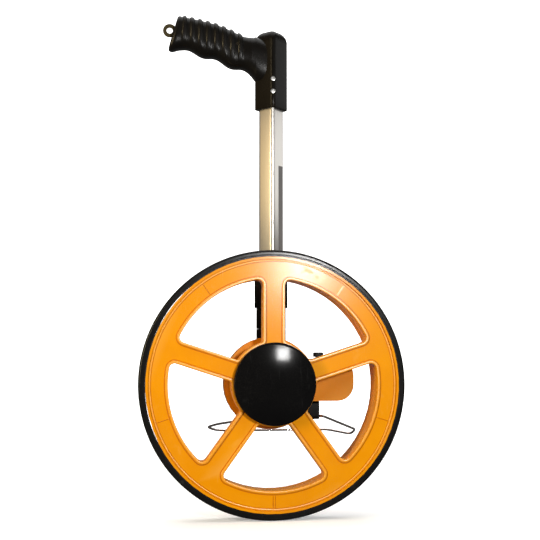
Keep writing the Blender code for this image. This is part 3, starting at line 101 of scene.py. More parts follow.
def meshPiece(name, points, faces, angle=40):
    mesh = bpy.data.meshes.new(name)
    mesh.from_pydata(points.tolist(), [], faces)
    work = bmesh.new()
    work.from_mesh(mesh)
    bmesh.ops.remove_doubles(work, verts=work.verts, dist=1e-7)
    bmesh.ops.recalc_face_normals(work, faces=work.faces)
    work.to_mesh(mesh)
    work.free()
    mesh.validate()
    smoothed(mesh, angle)
    return newObject(name, mesh)


def gridFaces(rows, columns, closeRows, closeColumns):
    # four-sided faces between the neighbouring points of a grid
    i = np.arange(rows if closeRows else rows - 1)
    j = np.arange(columns if closeColumns else columns - 1)
    i, j = (a.ravel() for a in np.meshgrid(i, j, indexing="ij"))
    down, across = (i + 1) % rows, (j + 1) % columns
    corners = (i * columns + j, i * columns + across, down * columns + across, down * columns + j)
    return np.stack(corners, axis=1).tolist()


def loftArrays(rows, closeRows=False):
    # a skin over rows of outlines: point (i, j) is outline i at its step j. The first and the last
    # outline get a fan to their middle, unless the rows run round in a ring
    count, size = rows.shape[:2]
    points = rows.reshape(-1, 3)
    faces = gridFaces(count, size, closeRows, True)
    if not closeRows:
        j = np.arange(size)
        following = (j + 1) % size
        last = (count - 1) * size
        points = np.concatenate([points, [rows[0].mean(axis=0), rows[-1].mean(axis=0)]])
        faces += np.stack([j, following, np.full(size, count * size)], axis=1).tolist()
        faces += np.stack([last + j, last + following, np.full(size, count * size + 1)], axis=1).tolist()
    return points, faces


def loftPiece(name, rows, angle=40, closeRows=False):
    return meshPiece(name, *loftArrays(rows, closeRows), angle)


def joined(parts):
    # several (points, faces) pairs as one pair
    points, faces, start = [], [], 0
    for somePoints, someFaces in parts:
        points.append(somePoints)
        faces += [[n + start for n in face] for face in someFaces]
        start += len(somePoints)
    return np.concatenate(points), faces


def turnedPiece(name, profile, steps, x, z, closed=True, angle=40):
    # a profile of (radius, y) turned about a line along Y through (x, z):
    # point (a, j) is (x + radius cos a, y, z + radius sin a).
    # A closed profile makes a ring, and an open one starts and ends on the axis
    profile = np.asarray(profile, float)
    a = np.linspace(0, 2 * np.pi, steps, endpoint=False)[:, None]
    radius, y = profile[:, 0][None, :], profile[:, 1][None, :]
    rows = np.stack([x + radius * np.cos(a), y + 0 * a, z + radius * np.sin(a)], axis=2)
    faces = gridFaces(rows.shape[0], rows.shape[1], True, closed)
    return meshPiece(name, rows.reshape(-1, 3), faces, angle)


def arcPoints(centre, radius, start, end, steps):
    # centre + radius (cos a, sin a) for angles in degrees from start to end
    a = np.radians(np.linspace(start, end, steps + 1))
    return np.stack([centre[0] + radius * np.cos(a), centre[1] + radius * np.sin(a)], axis=1)


def tubeRows(path, radius, steps, closed=False):
    # rings round a path: path point + radius (side cos a + up sin a), square to the way ahead
    path = np.asarray(path, float)
    ahead = np.roll(path, -1, 0) - np.roll(path, 1, 0) if closed else np.gradient(path, axis=0)
    ahead /= np.linalg.norm(ahead, axis=1)[:, None]
    side = np.cross(ahead, [0.13, 0.21, 0.97])  # a direction that no path here follows
    side /= np.linalg.norm(side, axis=1)[:, None]
    up = np.cross(side, ahead)
    a = np.linspace(0, 2 * np.pi, steps, endpoint=False)[None, :, None]
    return path[:, None, :] + radius * (side[:, None, :] * np.cos(a) + up[:, None, :] * np.sin(a))


def roundedPath(corners, steps=10, straightSteps=10):
    # a closed line through corners (x, y, z, bend). Each corner is a curve
    # p (1-t)^2 + 2 c t (1-t) + q t^2 from a point one bend before it to a point one bend after it
    corners = np.asarray(corners, float)
    here, bend = corners[:, :3], corners[:, 3:]
    toNext = np.roll(here, -1, 0) - here
    toNext /= np.linalg.norm(toNext, axis=1)[:, None]
    start, end = here - np.roll(toNext, 1, 0) * bend, here + toNext * bend
    t = np.linspace(0, 1, steps + 1)[None, :, None]
    curves = start[:, None] * (1 - t) ** 2 + here[:, None] * 2 * t * (1 - t) + end[:, None] * t ** 2
    t = np.linspace(0, 1, straightSteps + 1)[None, 1:-1, None]
    straights = end[:, None] * (1 - t) + np.roll(start, -1, 0)[:, None] * t
    return np.concatenate([curves, straights], axis=1).reshape(-1, 3)


def mergedCopy(node, name):
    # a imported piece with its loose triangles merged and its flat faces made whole
    work = bmesh.new()
    work.from_mesh(nodes[node].data)
    bmesh.ops.remove_doubles(work, verts=work.verts, dist=2e-6)
    bmesh.ops.dissolve_limit(work, angle_limit=math.radians(0.6), verts=work.verts, edges=work.edges)
    mesh = bpy.data.meshes.new(name)
    work.to_mesh(mesh)
    work.free()
    return newObject(name, mesh)


def placed(piece, body, slot, material, *replacedNodes):
    # gives a piece its body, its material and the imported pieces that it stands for
    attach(piece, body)
    if replacedNodes:
        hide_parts(*replacedNodes)
    piece.data.materials.clear()
    piece.data.materials.append(material)
    return piece


def softened(node, slot, material, width, steps=2, angle=38):
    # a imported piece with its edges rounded, as a moulding or a machined part has them
    piece = mergedCopy(node, node + "_finished")
    smoothed(piece.data, angle)
    edge = piece.modifiers.new("Edges", "BEVEL")
    edge.width = width
    edge.segments = steps
    edge.limit_method = "ANGLE"
    edge.angle_limit = math.radians(angle)
    edge.use_clamp_overlap = True
    flat = piece.modifiers.new("Flats", "WEIGHTED_NORMAL")
    flat.keep_sharp = True
    return placed(piece, nodes[node]["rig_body"], slot, material, node)


def cutBy(piece, cutters):
    # the piece with closed shapes cut out of it, worked out once and kept as its mesh
    for number, cutter in enumerate(cutters):
        cut = piece.modifiers.new(f"Cut{number}", "BOOLEAN")
        cut.object = cutter
        cut.operation = "DIFFERENCE"
        cut.solver = "EXACT"
    bpy.context.view_layer.update()
    finished = piece.evaluated_get(bpy.context.evaluated_depsgraph_get())
    piece.data = bpy.data.meshes.new_from_object(finished)
    piece.modifiers.clear()
    for cutter in cutters:
        bpy.data.objects.remove(cutter, do_unlink=True)
    smoothed(piece.data, 35)
    return piece


def rodCutter(start, end, radius):
    return loftPiece("cutter", tubeRows([start, end], radius, 24))


# Effects that several materials use, as node groups

def addNode(tree, kind, inputs=None, **settings):
    # an input is a value, or another node's output that is linked to it
    made = tree.nodes.new(kind)
    for key, value in settings.items():
        setattr(made, key, value)
    for key, value in (inputs or {}).items():
        if isinstance(value, bpy.types.NodeSocket):
            tree.links.new(value, made.inputs[key])
        else:
            made.inputs[key].default_value = value
    return made


def worked(tree, operation, first, second, **settings):
    # two values added, multiplied or compared
    made = addNode(tree, "ShaderNodeMath", {0: first, 1: second}, operation=operation, **settings)
    return made.outputs[0]


def stretchedTo(tree, value, low, high, newLow=0.0, newHigh=1.0):
    # a value between low and high moved to its place between newLow and newHigh
    inputs = {"Value": value, "From Min": low, "From Max": high, "To Min": newLow, "To Max": newHigh}
    return addNode(tree, "ShaderNodeMapRange", inputs).outputs[0]


def noise(tree, place, scale, detail, roughness=0.5, distortion=0.0):
    inputs = {"Vector": place, "Scale": scale, "Detail": detail, "Roughness": roughness,
              "Distortion": distortion}
    return addNode(tree, "ShaderNodeTexNoise", inputs).outputs["Fac"]


def newGroup(name, inputs, outputs):
    group = bpy.data.node_groups.new(name, "ShaderNodeTree")
    for title, kind, value in inputs:
        socket = group.interface.new_socket(title, in_out="INPUT", socket_type=kind)
        if value is not None:
            socket.default_value = value
    for title in outputs:
        group.interface.new_socket(title, in_out="OUTPUT", socket_type="NodeSocketFloat")
    return group, group.nodes.new("NodeGroupInput").outputs, group.nodes.new("NodeGroupOutput").inputs


def makeGrainGroup():
    # the skin of a moulding: a fine noise with a coarse one under it, and slow clouds for the colour
    group, given, made = newGroup(
        "mouldedGrain",
        [("Vector", "NodeSocketVector", None), ("Scale", "NodeSocketFloat", 900.0)],
        ["Height", "Cloud"])
    fine = noise(group, given["Vector"], given["Scale"], 3.0, 0.6)
    coarse = noise(group, given["Vector"], worked(group, "MULTIPLY", given["Scale"], 0.1), 4.0, 0.55)
    group.links.new(worked(group, "ADD", fine, coarse), made["Height"])
    group.links.new(noise(group, given["Vector"], 26.0, 4.0, 0.6), made["Cloud"])
    return group


def makeScuffGroup():
    # thin rubbed lines in two directions, in patches: 1 on a line, 0 beside it
    group, given, made = newGroup(
        "handlingScuffs",
        [("Vector", "NodeSocketVector", None), ("Scale", "NodeSocketFloat", 60.0),
         ("Cover", "NodeSocketFloat", 0.5)],
        ["Mask"])
    lines = []
    for turn, stretch in (((0.3, 0.5, 0.6), (1, 14, 1)), ((1.2, -0.4, 2.0), (16, 1, 1))):
        mapping = {"Vector": given["Vector"], "Rotation": turn, "Scale": stretch}
        drawn = addNode(group, "ShaderNodeMapping", mapping).outputs["Vector"]
        lines.append(stretchedTo(group, noise(group, drawn, given["Scale"], 2.0, 0.5, 0.3), 0.66, 0.74))
    patches = stretchedTo(group, noise(group, given["Vector"], 22.0, 2.0), 0.42, 0.62)
    some = worked(group, "MULTIPLY", worked(group, "MAXIMUM", *lines), patches)
    group.links.new(worked(group, "MULTIPLY", some, given["Cover"]), made["Mask"])
    return group


def makeDustGroup():
    # thin dust in soft patches: a slow noise times a fine one
    group, given, made = newGroup(
        "thinDust",
        [("Vector", "NodeSocketVector", None), ("Amount", "NodeSocketFloat", 0.2)],
        ["Mask"])
    slow = stretchedTo(group, noise(group, given["Vector"], 14.0, 3.0), 0.4, 0.75)
    fine = stretchedTo(group, noise(group, given["Vector"], 700.0, 2.0), 0.45, 0.8)
    both = worked(group, "MULTIPLY", slow, fine)
    group.links.new(worked(group, "MULTIPLY", both, given["Amount"]), made["Mask"])
    return group


def makeEdgeGroup():
    # 1 on worn outer edges and 0 elsewhere, from how pointed the surface is. The colour laid on there is
    # partly wear and partly a painted highlight along edges and ridges
    group, given, made = newGroup("paleEdgesWearAndGlint", [("Amount", "NodeSocketFloat", 0.5)], ["Mask"])
    pointed = group.nodes.new("ShaderNodeNewGeometry").outputs["Pointiness"]
    edge = stretchedTo(group, pointed, 0.53, 0.64)
    group.links.new(worked(group, "MULTIPLY", edge, given["Amount"]), made["Mask"])
    return group


grainGroup = makeGrainGroup()
scuffGroup = makeScuffGroup()
dustGroup = makeDustGroup()
edgeWearAndGlintGroup = makeEdgeGroup()


# Materials. Colours are given as on a screen, 0 to 255

def colour(red, green, blue):
    values = np.array([red, green, blue]) / 255
    values = np.where(values <= 0.04045, values / 12.92, ((values + 0.055) / 1.055) ** 2.4)
    return (*values.tolist(), 1.0)


def mixColour(tree, factor, first, second):
    made = addNode(tree, "ShaderNodeMix", {"Factor": factor, 6: first, 7: second}, data_type="RGBA")
    return made.outputs[2]


def newMaterial(name):
    material = bpy.data.materials.new(name)
    material.use_nodes = True
    tree = material.node_tree
    place = tree.nodes.new("ShaderNodeTexCoord").outputs["Object"]
    return material, tree, tree.nodes["Principled BSDF"].inputs, place


def effect(tree, group, inputs):
    return addNode(tree, "ShaderNodeGroup", inputs, node_tree=group).outputs


def surfaceFinish(name, look):
    # a cloudy base colour with rubbed lines, thin dust and pale edges (partly wear, partly a painted
    # highlight), and a fine grain in its gloss and its relief. A stretched grain makes the drawn lines of a
    # metal tube
    material, tree, shader, place = newMaterial(name)
    shader["Specular IOR Level"].default_value = look["shine"]
    shader["Metallic"].default_value = look["metallic"]
    stretched = addNode(tree, "ShaderNodeMapping", {"Vector": place, "Scale": look["stretch"]})
    grain = effect(tree, grainGroup, {"Vector": stretched.outputs["Vector"], "Scale": look["grainScale"]})
    scuffs = effect(tree, scuffGroup, {
        "Vector": place, "Scale": look["scuffScale"], "Cover": look["scuffs"]})
    dust = effect(tree, dustGroup, {"Vector": place, "Amount": look["dustAmount"]})
    edges = effect(tree, edgeWearAndGlintGroup, {"Amount": look["edges"]})

    cloud = stretchedTo(tree, grain["Cloud"], 0.3, 0.7)
    base = mixColour(tree, cloud, colour(*look["colour"]), colour(*look["shade"]))
    # the edge layer lays on a lighter tone: wear, and a painted highlight on edges and ridges
    for layer, tone in ((edges, "edge"), (scuffs, "scuff"), (dust, "dust")):
        base = mixColour(tree, layer["Mask"], base, colour(*look[tone]))
    tree.links.new(base, shader["Base Color"])

    gloss = stretchedTo(tree, grain["Cloud"], 0.25, 0.75, *look["roughness"])
    rubbed = worked(tree, "MULTIPLY", scuffs["Mask"], 0.25)
    tree.links.new(worked(tree, "ADD", gloss, rubbed, use_clamp=True), shader["Roughness"])

    relief = {"Strength": look["bump"], "Distance": look["bumpDepth"], "Height": grain["Height"]}
    tree.links.new(addNode(tree, "ShaderNodeBump", relief).outputs["Normal"], shader["Normal"])
    return material


paleDust = (196, 188, 174)
commonLook = {
    "shine": 0.5, "metallic": 0.0, "stretch": (1, 1, 1), "scuffScale": 60.0, "bumpDepth": 0.0003}
orangeLook = dict(
    commonLook, colour=(247, 160, 6), shade=(240, 150, 3), scuff=(252, 186, 84), edge=(255, 190, 90),
    dust=paleDust, roughness=(0.15, 0.18), grainScale=700.0, scuffs=0.3, dustAmount=0.08, edges=0.3,
    bump=0.03, shine=0.095)
# a lighter orange painted as a highlight on the borders and the rim bead, with a higher gloss
borderGlintLook = dict(orangeLook, colour=(250, 168, 20), shade=(246, 160, 10), roughness=(0.24, 0.3), shine=0.6)
# a pale orange painted as a highlight on the raised gate mark
markHighlightLook = dict(orangeLook, colour=(255, 222, 168), shade=(255, 214, 150), edges=0.0)
# a darker orange painted as shade on the gear case, which is the same plastic as the wheel
caseShadeLook = dict(orangeLook, colour=(218, 138, 24), shade=(206, 128, 20), roughness=(0.3, 0.4), shine=0.06)
# a darker orange painted as shade at the foot of the borders, in the rim groove and on the mould lines, with
# more dust
creviceShadeLook = dict(
    orangeLook, colour=(216, 122, 4), shade=(204, 112, 4), edge=(220, 128, 10), edges=0.0, scuffs=0.0,
    dustAmount=0.2)
capLook = dict(
    commonLook, colour=(11, 11, 12), shade=(15, 15, 16), scuff=(80, 82, 84), edge=(34, 34, 36),
    dust=(110, 108, 102), roughness=(0.08, 0.11), grainScale=260.0, scuffs=0.18, scuffScale=34.0,
    dustAmount=0.07, edges=0.2, bump=0.02, shine=0.05)
blackLook = dict(
    commonLook, colour=(13, 12, 11), shade=(18, 17, 16), scuff=(84, 82, 78), edge=(50, 48, 46),
    dust=(120, 114, 102), roughness=(0.34, 0.48), grainScale=1100.0, scuffs=0.22, dustAmount=0.08,
    edges=0.3, bump=0.2, shine=0.06)
# the grip's and the column's golden edge colour is a painted highlight on the ribs and the front ridge
gripLook = dict(
    commonLook, colour=(13, 11, 9), shade=(17, 15, 12), scuff=(80, 70, 54), edge=(66, 56, 38),
    dust=(100, 90, 70), roughness=(0.24, 0.32), grainScale=1300.0, scuffs=0.2, dustAmount=0.1, edges=0.5,
    bump=0.2, shine=0.22)
columnLook = dict(gripLook, roughness=(0.24, 0.3), shine=0.1, edges=0.6, bump=0.03)
rubberLook = dict(
    commonLook, colour=(17, 17, 17), shade=(24, 23, 23), scuff=(80, 80, 80), edge=(40, 40, 42),
    dust=(110, 106, 98), roughness=(0.16, 0.19), grainScale=1500.0, scuffs=0.2, dustAmount=0.06, edges=0.1,
    bump=0.04, shine=0.2)
gearLook = dict(
    commonLook, colour=(226, 224, 214), shade=(214, 211, 199), scuff=(190, 186, 172), edge=(240, 238, 230),
    dust=paleDust, roughness=(0.38, 0.5), grainScale=900.0, scuffs=0.2, dustAmount=0.15, edges=0.3,
    bump=0.12)
drumLook = dict(gearLook, colour=(236, 235, 228), shade=(226, 224, 215))
figureLook = dict(blackLook, colour=(24, 24, 26), shade=(34, 34, 36), roughness=(0.4, 0.55))
inchFigureLook = dict(
    figureLook, colour=(176, 26, 20), shade=(160, 22, 18), edge=(190, 50, 40), scuff=(200, 90, 80))
stripLook = dict(
    blackLook, colour=(104, 99, 94), shade=(92, 88, 86), scuff=(150, 146, 140), edge=(120, 116, 112),
    roughness=(0.3, 0.4), shine=0.4)
tubeLook = dict(
    commonLook, colour=(228, 224, 216), shade=(216, 212, 205), scuff=(240, 238, 232), edge=(240, 238, 234),
    dust=paleDust, roughness=(0.28, 0.35), metallic=1.0, grainScale=1500.0, stretch=(1, 1, 0.02),
    scuffs=0.25, dustAmount=0.05, edges=0.2, bump=0.12, bumpDepth=0.0002)
zincLook = dict(
    commonLook, colour=(206, 205, 200), shade=(186, 186, 184), scuff=(230, 228, 222), edge=(228, 227, 222),
    dust=paleDust, roughness=(0.22, 0.36), metallic=1.0, grainScale=1400.0, scuffs=0.4, dustAmount=0.05,
    edges=0.4, bump=0.15, bumpDepth=0.0002)
wireLook = dict(
    zincLook, colour=(206, 194, 188), shade=(176, 160, 152), edge=(130, 116, 108), scuff=(180, 170, 164),
    roughness=(0.1, 0.18), grainScale=500.0)
eyeLook = dict(
    zincLook, colour=(110, 98, 70), shade=(80, 70, 48), edge=(150, 138, 108), scuff=(190, 180, 150),
    roughness=(0.28, 0.44), grainScale=600.0)

orangePlastic = surfaceFinish("orangePlastic", orangeLook)
orangePaintedShade = surfaceFinish("orangePaintedShade", creviceShadeLook)
orangeBorderGlint = surfaceFinish("orangeBorderGlint", borderGlintLook)
paintedHighlightMark = surfaceFinish("paintedHighlightMark", markHighlightLook)
shadedCasePlastic = surfaceFinish("shadedCasePlastic", caseShadeLook)
capPlastic = surfaceFinish("capPlastic", capLook)
blackPlastic = surfaceFinish("blackPlastic", blackLook)
gripPlastic = surfaceFinish("gripPlastic", gripLook)
columnPlastic = surfaceFinish("columnPlastic", columnLook)
tyreRubber = surfaceFinish("tyreRubber", rubberLook)
gearPlastic = surfaceFinish("gearPlastic", gearLook)
drumPlastic = surfaceFinish("drumPlastic", drumLook)
figureInk = surfaceFinish("figureInk", figureLook)
inchFigureInk = surfaceFinish("inchFigureInk", inchFigureLook)
stripInk = surfaceFinish("stripInk", stripLook)
tubeMetal = surfaceFinish("tubeMetal", tubeLook)
zincSteel = surfaceFinish("zincSteel", zincLook)
wireMetal = surfaceFinish("wireMetal", wireLook)
eyeMetal = surfaceFinish("eyeMetal", eyeLook)


def makeWindowMaterial():
    # clear plastic with faint rubbed lines in its gloss
    material, tree, shader, place = newMaterial("clearPlastic")
    shader["Transmission Weight"].default_value = 1.0
    shader["IOR"].default_value = 1.49
    rubbed = effect(tree, scuffGroup, {"Vector": place, "Scale": 120.0})["Mask"]
    tree.links.new(stretchedTo(tree, rubbed, 0.0, 1.0, 0.03, 0.3), shader["Roughness"])
    tint = mixColour(tree, rubbed, colour(244, 248, 248), colour(226, 230, 230))
    tree.links.new(tint, shader["Base Color"])
    return material


clearPlastic = makeWindowMaterial()
print("materials made:", len(bpy.data.materials))


# Tyre: a moulded band with round shoulders, shallow grooves in the tread and a bead on each side

tyre = {
    "radius": 0.1455, "inner": 0.1382, "halfWidth": 0.0175, "wallTilt": (0, 2), "wallOuter": 0.1428,
    "crown": 0.0003, "grooves": 4, "grooveWidth": 0.0013, "grooveDepth": 0.0006, "grooveSlope": 0.0004,
    "beadAt": 0.1394, "beadHeight": 0.00008, "beadWidth": 0.0006, "steps": 360}


def tyreSide():
    # from the inner edge to the tread: an arc whose tilt grows between the two angles, with a bead like
    # a bell curve on it, then a tighter arc that turns on to 90 degrees
    start, end = tyre["wallTilt"]
    startSine, endSine = math.sin(math.radians(start)), math.sin(math.radians(end))
    wide = (tyre["wallOuter"] - tyre["inner"]) / (endSine - startSine)
    tight = (tyre["radius"] - tyre["crown"] - tyre["wallOuter"]) / (1 - endSine)
    wall = arcPoints((0, 0), wide, start - 90, end - 90, 22)
    wall = wall - wall[0] + [tyre["inner"], tyre["beadHeight"] - tyre["halfWidth"]]
    swell = np.exp(-((wall[:, 0] - tyre["beadAt"]) / tyre["beadWidth"]) ** 2)
    turn = arcPoints((0, 0), tight, end - 90, 0, 12)
    turn = turn - turn[0] + wall[-1]
    wall[:, 1] -= tyre["beadHeight"] * swell
    return np.concatenate([wall, turn[1:]])


def tyreTread(half):
    # from front to back: the radius falls a little toward both sides, and by a smooth step at each groove
    y = np.linspace(-half, half, 121)[1:-1]
    pitch = 2 * half / tyre["grooves"]
    away = np.abs(y / pitch - np.round(y / pitch)) * pitch
    step = np.clip((away - tyre["grooveWidth"] / 2) / tyre["grooveSlope"] + 0.5, 0, 1)
    depth = tyre["grooveDepth"] * (1 - step * step * (3 - 2 * step))
    return np.stack([tyre["radius"] - depth - tyre["crown"] * (y / half) ** 2, y], axis=1)


def makeTyre():
    front = tyreSide()
    back = front[::-1] * [1, -1]
    profile = np.concatenate([front, tyreTread(-front[-1, 1]), back])
    piece = turnedPiece("tyre_rubber", profile, tyre["steps"], axle.x, axle.z, angle=60)
    placed(piece, "wheel", "tyre_rubber", tyreRubber, "tyre")


makeTyre()
print("tyre made")


# Wheel: the moulding, a rounded border along each gap between two spokes in a lighter orange painted as
# highlight, a strip of painted shade at its foot, a groove of painted shade and a bead round the rim, and
# the lines that the mould left on the rim's face, in painted shade, with the gate mark painted pale as a
# highlight

wheel = {
    "spokes": 5, "spokeWidth": 0.0235, "openingRadius": 0.114131, "hubRadius": 0.046, "rimFillet": 0.006,
    "hubFillet": 0.003, "edge": 0.0004, "face": -0.0172, "sink": 0.0001, "lift": 0.00004,
    "borderTop": -0.01825, "borderWidth": 0.003, "borderRound": 0.0010, "borderDepth": 0.0172,
    "overWall": 0.00022, "creviceShadeWidth": 0.0012, "lineInner": 0.1182, "lineOuter": 0.1322,
    "lineHeight": 0.00022, "lineHalf": 0.0005, "grooveHalf": 0.0004, "beadHalf": 0.0009,
    "beadHeight": 0.0003, "ringSteps": 180, "gateAngle": 54, "gateHalf": 0.0013,
    "lines": ((126, 0), (198, 0), (342, 0), (270, -0.0012), (270, 0.0012))}  # angle, distance to its side


def openingOutline(number, grow):
    # one gap between two spokes with its edge moved out by grow: an arc of the hub, a fillet, the
    # spoke's straight side, a fillet and an arc of the rim, and the same mirrored. All whole arcs
    half = wheel["spokeWidth"] / 2 - grow
    rim, hub = wheel["openingRadius"] + grow, wheel["hubRadius"] - grow
    rimFillet, hubFillet = wheel["rimFillet"] + grow, wheel["hubFillet"] + grow
    middle = 90 - 180 / wheel["spokes"]
    rimX, hubX = half + rimFillet, half + hubFillet
    rimZ = math.sqrt((rim - rimFillet) ** 2 - rimX ** 2)
    hubZ = math.sqrt((hub + hubFillet) ** 2 - hubX ** 2)
    rimAngle, hubAngle = math.degrees(math.atan2(rimZ, rimX)), math.degrees(math.atan2(hubZ, hubX))
    side = np.concatenate([
        arcPoints((0, 0), hub, middle, hubAngle, 8)[:-1],
        arcPoints((hubX, hubZ), hubFillet, hubAngle + 180, 180, 6),
        arcPoints((rimX, rimZ), rimFillet, 180, rimAngle, 8),
        arcPoints((0, 0), rim, rimAngle, middle, 18)[1:]])
    radius, angle = np.hypot(side[:, 0], side[:, 1]), np.arctan2(side[:, 1], side[:, 0])
    radius = np.concatenate([radius, radius[-2:0:-1]])
    angle = np.concatenate([angle, 2 * math.radians(middle) - angle[-2:0:-1]])
    angle = angle - number * 2 * math.pi / wheel["spokes"]
    return np.stack([radius * np.cos(angle), radius * np.sin(angle)], axis=1)


def alongOpening(number, profile):
    # a closed profile of (distance from the gap's edge, y) carried round the gap
    rows = []
    for grow, y in profile:
        x, z = openingOutline(number, grow).T
        rows.append(np.column_stack([x + axle.x, np.full(len(x), y), z + axle.z]))
    rows = np.array(rows)
    return rows.reshape(-1, 3), gridFaces(rows.shape[0], rows.shape[1], True, True)


def borderProfile():
    top, width, turn = wheel["borderTop"], wheel["borderWidth"], wheel["borderRound"]
    low, outer, back = wheel["face"] + wheel["sink"], -wheel["overWall"], top + wheel["borderDepth"]
    firstTurn = arcPoints((outer + turn, top + turn), turn, 180, 270, 6)
    lastTurn = arcPoints((width - turn, top + turn), turn, 270, 350, 6)
    foot = [(width, low), (width / 2, low), (width / 2, back)]
    return np.concatenate([[(outer, back)], firstTurn, lastTurn, foot])


def faceStrip(near, far):
    # the closed profile of a thin flat strip on the wheel's face, as the strips of painted shade use it
    inside, outside = wheel["face"] + wheel["sink"], wheel["face"] - wheel["lift"]
    return np.array([(near, inside), (near, outside), (far, outside), (far, inside)])


def mouldLine(angle, aside, halfWidth):
    # a low round bar along a radius of the rim's face: across = halfWidth cos t, y = height sin t.
    # Toward its two ends it narrows by sqrt(1 - s^8), with s from -1 to 1 along it
    along = np.linspace(wheel["lineInner"], wheel["lineOuter"], 24)
    ends = np.sqrt(np.clip(1 - np.linspace(-1, 1, 24) ** 8, 0.02, 1))[:, None, None]
    a = math.radians(angle)
    outward, across = np.array([math.cos(a), 0, math.sin(a)]), np.array([-math.sin(a), 0, math.cos(a)])
    middle = outward * along[:, None] + across * aside + np.array([axle.x, 0, axle.z])
    middle[:, 1] = wheel["face"]
    t = np.linspace(0, 2 * np.pi, 12, endpoint=False)[None, :, None]
    out = np.array([0, -1, 0]) * wheel["lineHeight"] * np.sin(t)
    return middle[:, None, :] + ends * (across * halfWidth * np.cos(t) + out)


def makeWheel():
    softened("wheel_disc", "orange_plastic", orangePlastic, wheel["edge"])
    # the borders get a lighter orange as a painted highlight; the strips at their foot are painted shade
    foot = wheel["borderWidth"]
    creviceShadeStrip = faceStrip(foot - wheel["sink"], foot + wheel["creviceShadeWidth"])
    for name, profile, material in (("opening_borders", borderProfile(), orangeBorderGlint),
                                    ("border_crevice_shade", creviceShadeStrip, orangePaintedShade)):
        parts = [alongOpening(number, profile) for number in range(wheel["spokes"])]
        placed(meshPiece(name, *joined(parts)), "wheel", "orange_plastic", material)
    # the raised gate mark is painted pale as a highlight
    gateHighlight = loftPiece("gate_mark_highlight", mouldLine(wheel["gateAngle"], 0, wheel["gateHalf"]))
    placed(gateHighlight, "wheel", "orange_plastic", paintedHighlightMark)
    # the mould lines are painted with the darker orange of the painted shade
    lines = [loftArrays(mouldLine(angle, aside, wheel["lineHalf"])) for angle, aside in wheel["lines"]]
    placed(meshPiece("mould_lines", *joined(lines)), "wheel", "orange_plastic", orangePaintedShade)


def makeRimRings():
    # a groove round the rim at the mould lines' outer ends, drawn as a flat strip of painted shade, and just
    # outside it a low round bead in the lighter orange painted as highlight
    middle, half, bead = wheel["lineOuter"], wheel["grooveHalf"], wheel["beadHalf"]
    near, inside = middle + half, wheel["face"] + wheel["sink"]
    front = arcPoints((near + bead, 0), bead, 180, 360, 10)
    front[:, 1] = wheel["face"] + front[:, 1] * wheel["beadHeight"] / bead
    beadProfile = np.concatenate([front, [(near + 2 * bead, inside), (near, inside)]])
    for name, profile, material in (("rim_groove_shade", faceStrip(middle - half, middle + half), orangePaintedShade),
                                    ("rim_bead", beadProfile, orangeBorderGlint)):
        ring = turnedPiece(name, profile, wheel["ringSteps"], axle.x, axle.z)
        placed(ring, "wheel", "orange_plastic", material)


makeWheel()
makeRimRings()
print("wheel made")


# Hub cap: a round cover with an almost flat front, hollow behind

cap = {"radius": 0.0444, "base": -0.0183, "side": -0.0265, "round": 0.0017, "ball": 0.42, "wall": 0.002,
       "spigot": 0.043, "back": -0.0175, "steps": 144}


def makeCap():
    # the front is part of a ball: at a radius r it lies R - sqrt(R^2 - r^2) behind its tip.
    # An arc leads from it to the side
    edge, ball = cap["radius"] - cap["round"], cap["ball"]
    turn = math.asin(edge / ball)
    front = cap["side"] - cap["round"] * math.cos(turn)
    tip = front - (ball - math.sqrt(ball ** 2 - edge ** 2))
    radius = np.linspace(0, edge, 30)
    dome = np.stack([radius, tip + ball - np.sqrt(ball ** 2 - radius ** 2)], axis=1)
    corner = arcPoints((edge, cap["side"]), cap["round"], -90 + math.degrees(turn), 0, 8)
    inner = cap["spigot"] - cap["wall"]
    foot = [(cap["radius"], cap["base"]), (cap["spigot"], cap["base"]), (cap["spigot"], cap["back"]),
            (inner, cap["back"]), (inner, front + cap["wall"]), (0, front + cap["wall"])]
    profile = np.concatenate([dome[:-1], corner, foot])
    piece = turnedPiece("hub_cap_dome", profile, cap["steps"], axle.x, axle.z, closed=False)
    placed(piece, "wheel", "black_plastic", capPlastic, "hub_cap")


makeCap()
print("hub cap made")


# Handle: a square column set corner to the front, with a ribbed grip, made as two half shells

column = {
    "side": 0.0295, "corner": 0.0045, "cornerSteps": 10, "bottom": 0.4625, "shoulder": 0.5428,
    "top": 0.5552, "bottomRound": 0.0009, "narrowing": 0.55, "screwRecess": 0.0031, "recessDepth": 0.0021,
    "recessReach": 0.02, "wallLevels": (0.012, 0.081)}  # the wall's levels, above the bottom
grip = {
    "length": 0.1142, "height": 0.0428, "depth": 0.0287, "drop": 17.4, "root": 0.5188, "lean": 0.28,
    "arch": 0.0036, "taper": 0.0015, "heel": 0.0042, "heelLength": 0.009, "squareness": 2.7, "halfSteps": 36,
    "wave": 0.0021, "waves": 3, "lowerExtra": 0.0008,
    "belly": 0.0022, "bellyStart": 0.03, "bellyLength": 0.03,
    "saddle": 0.0027, "saddleAt": 0.088, "saddleWidth": 0.022, "endSink": 0.0036, "endSinkLength": 0.047,
    "endRound": 0.0045, "endUpper": 0.35, "endLower": 1.5, "ribs": 8, "ribPitch": 0.0093, "ribFirst": 0.0115,
    "ribDepth": 0.0017, "ribTop": 0.14, "ribSlope": 0.2, "reach": 0.75, "flareLength": 0.017,
    "flareTop": 0.0048, "flareBottom": 0.0048, "intoColumn": 0.0015, "pitch": 0.0005}


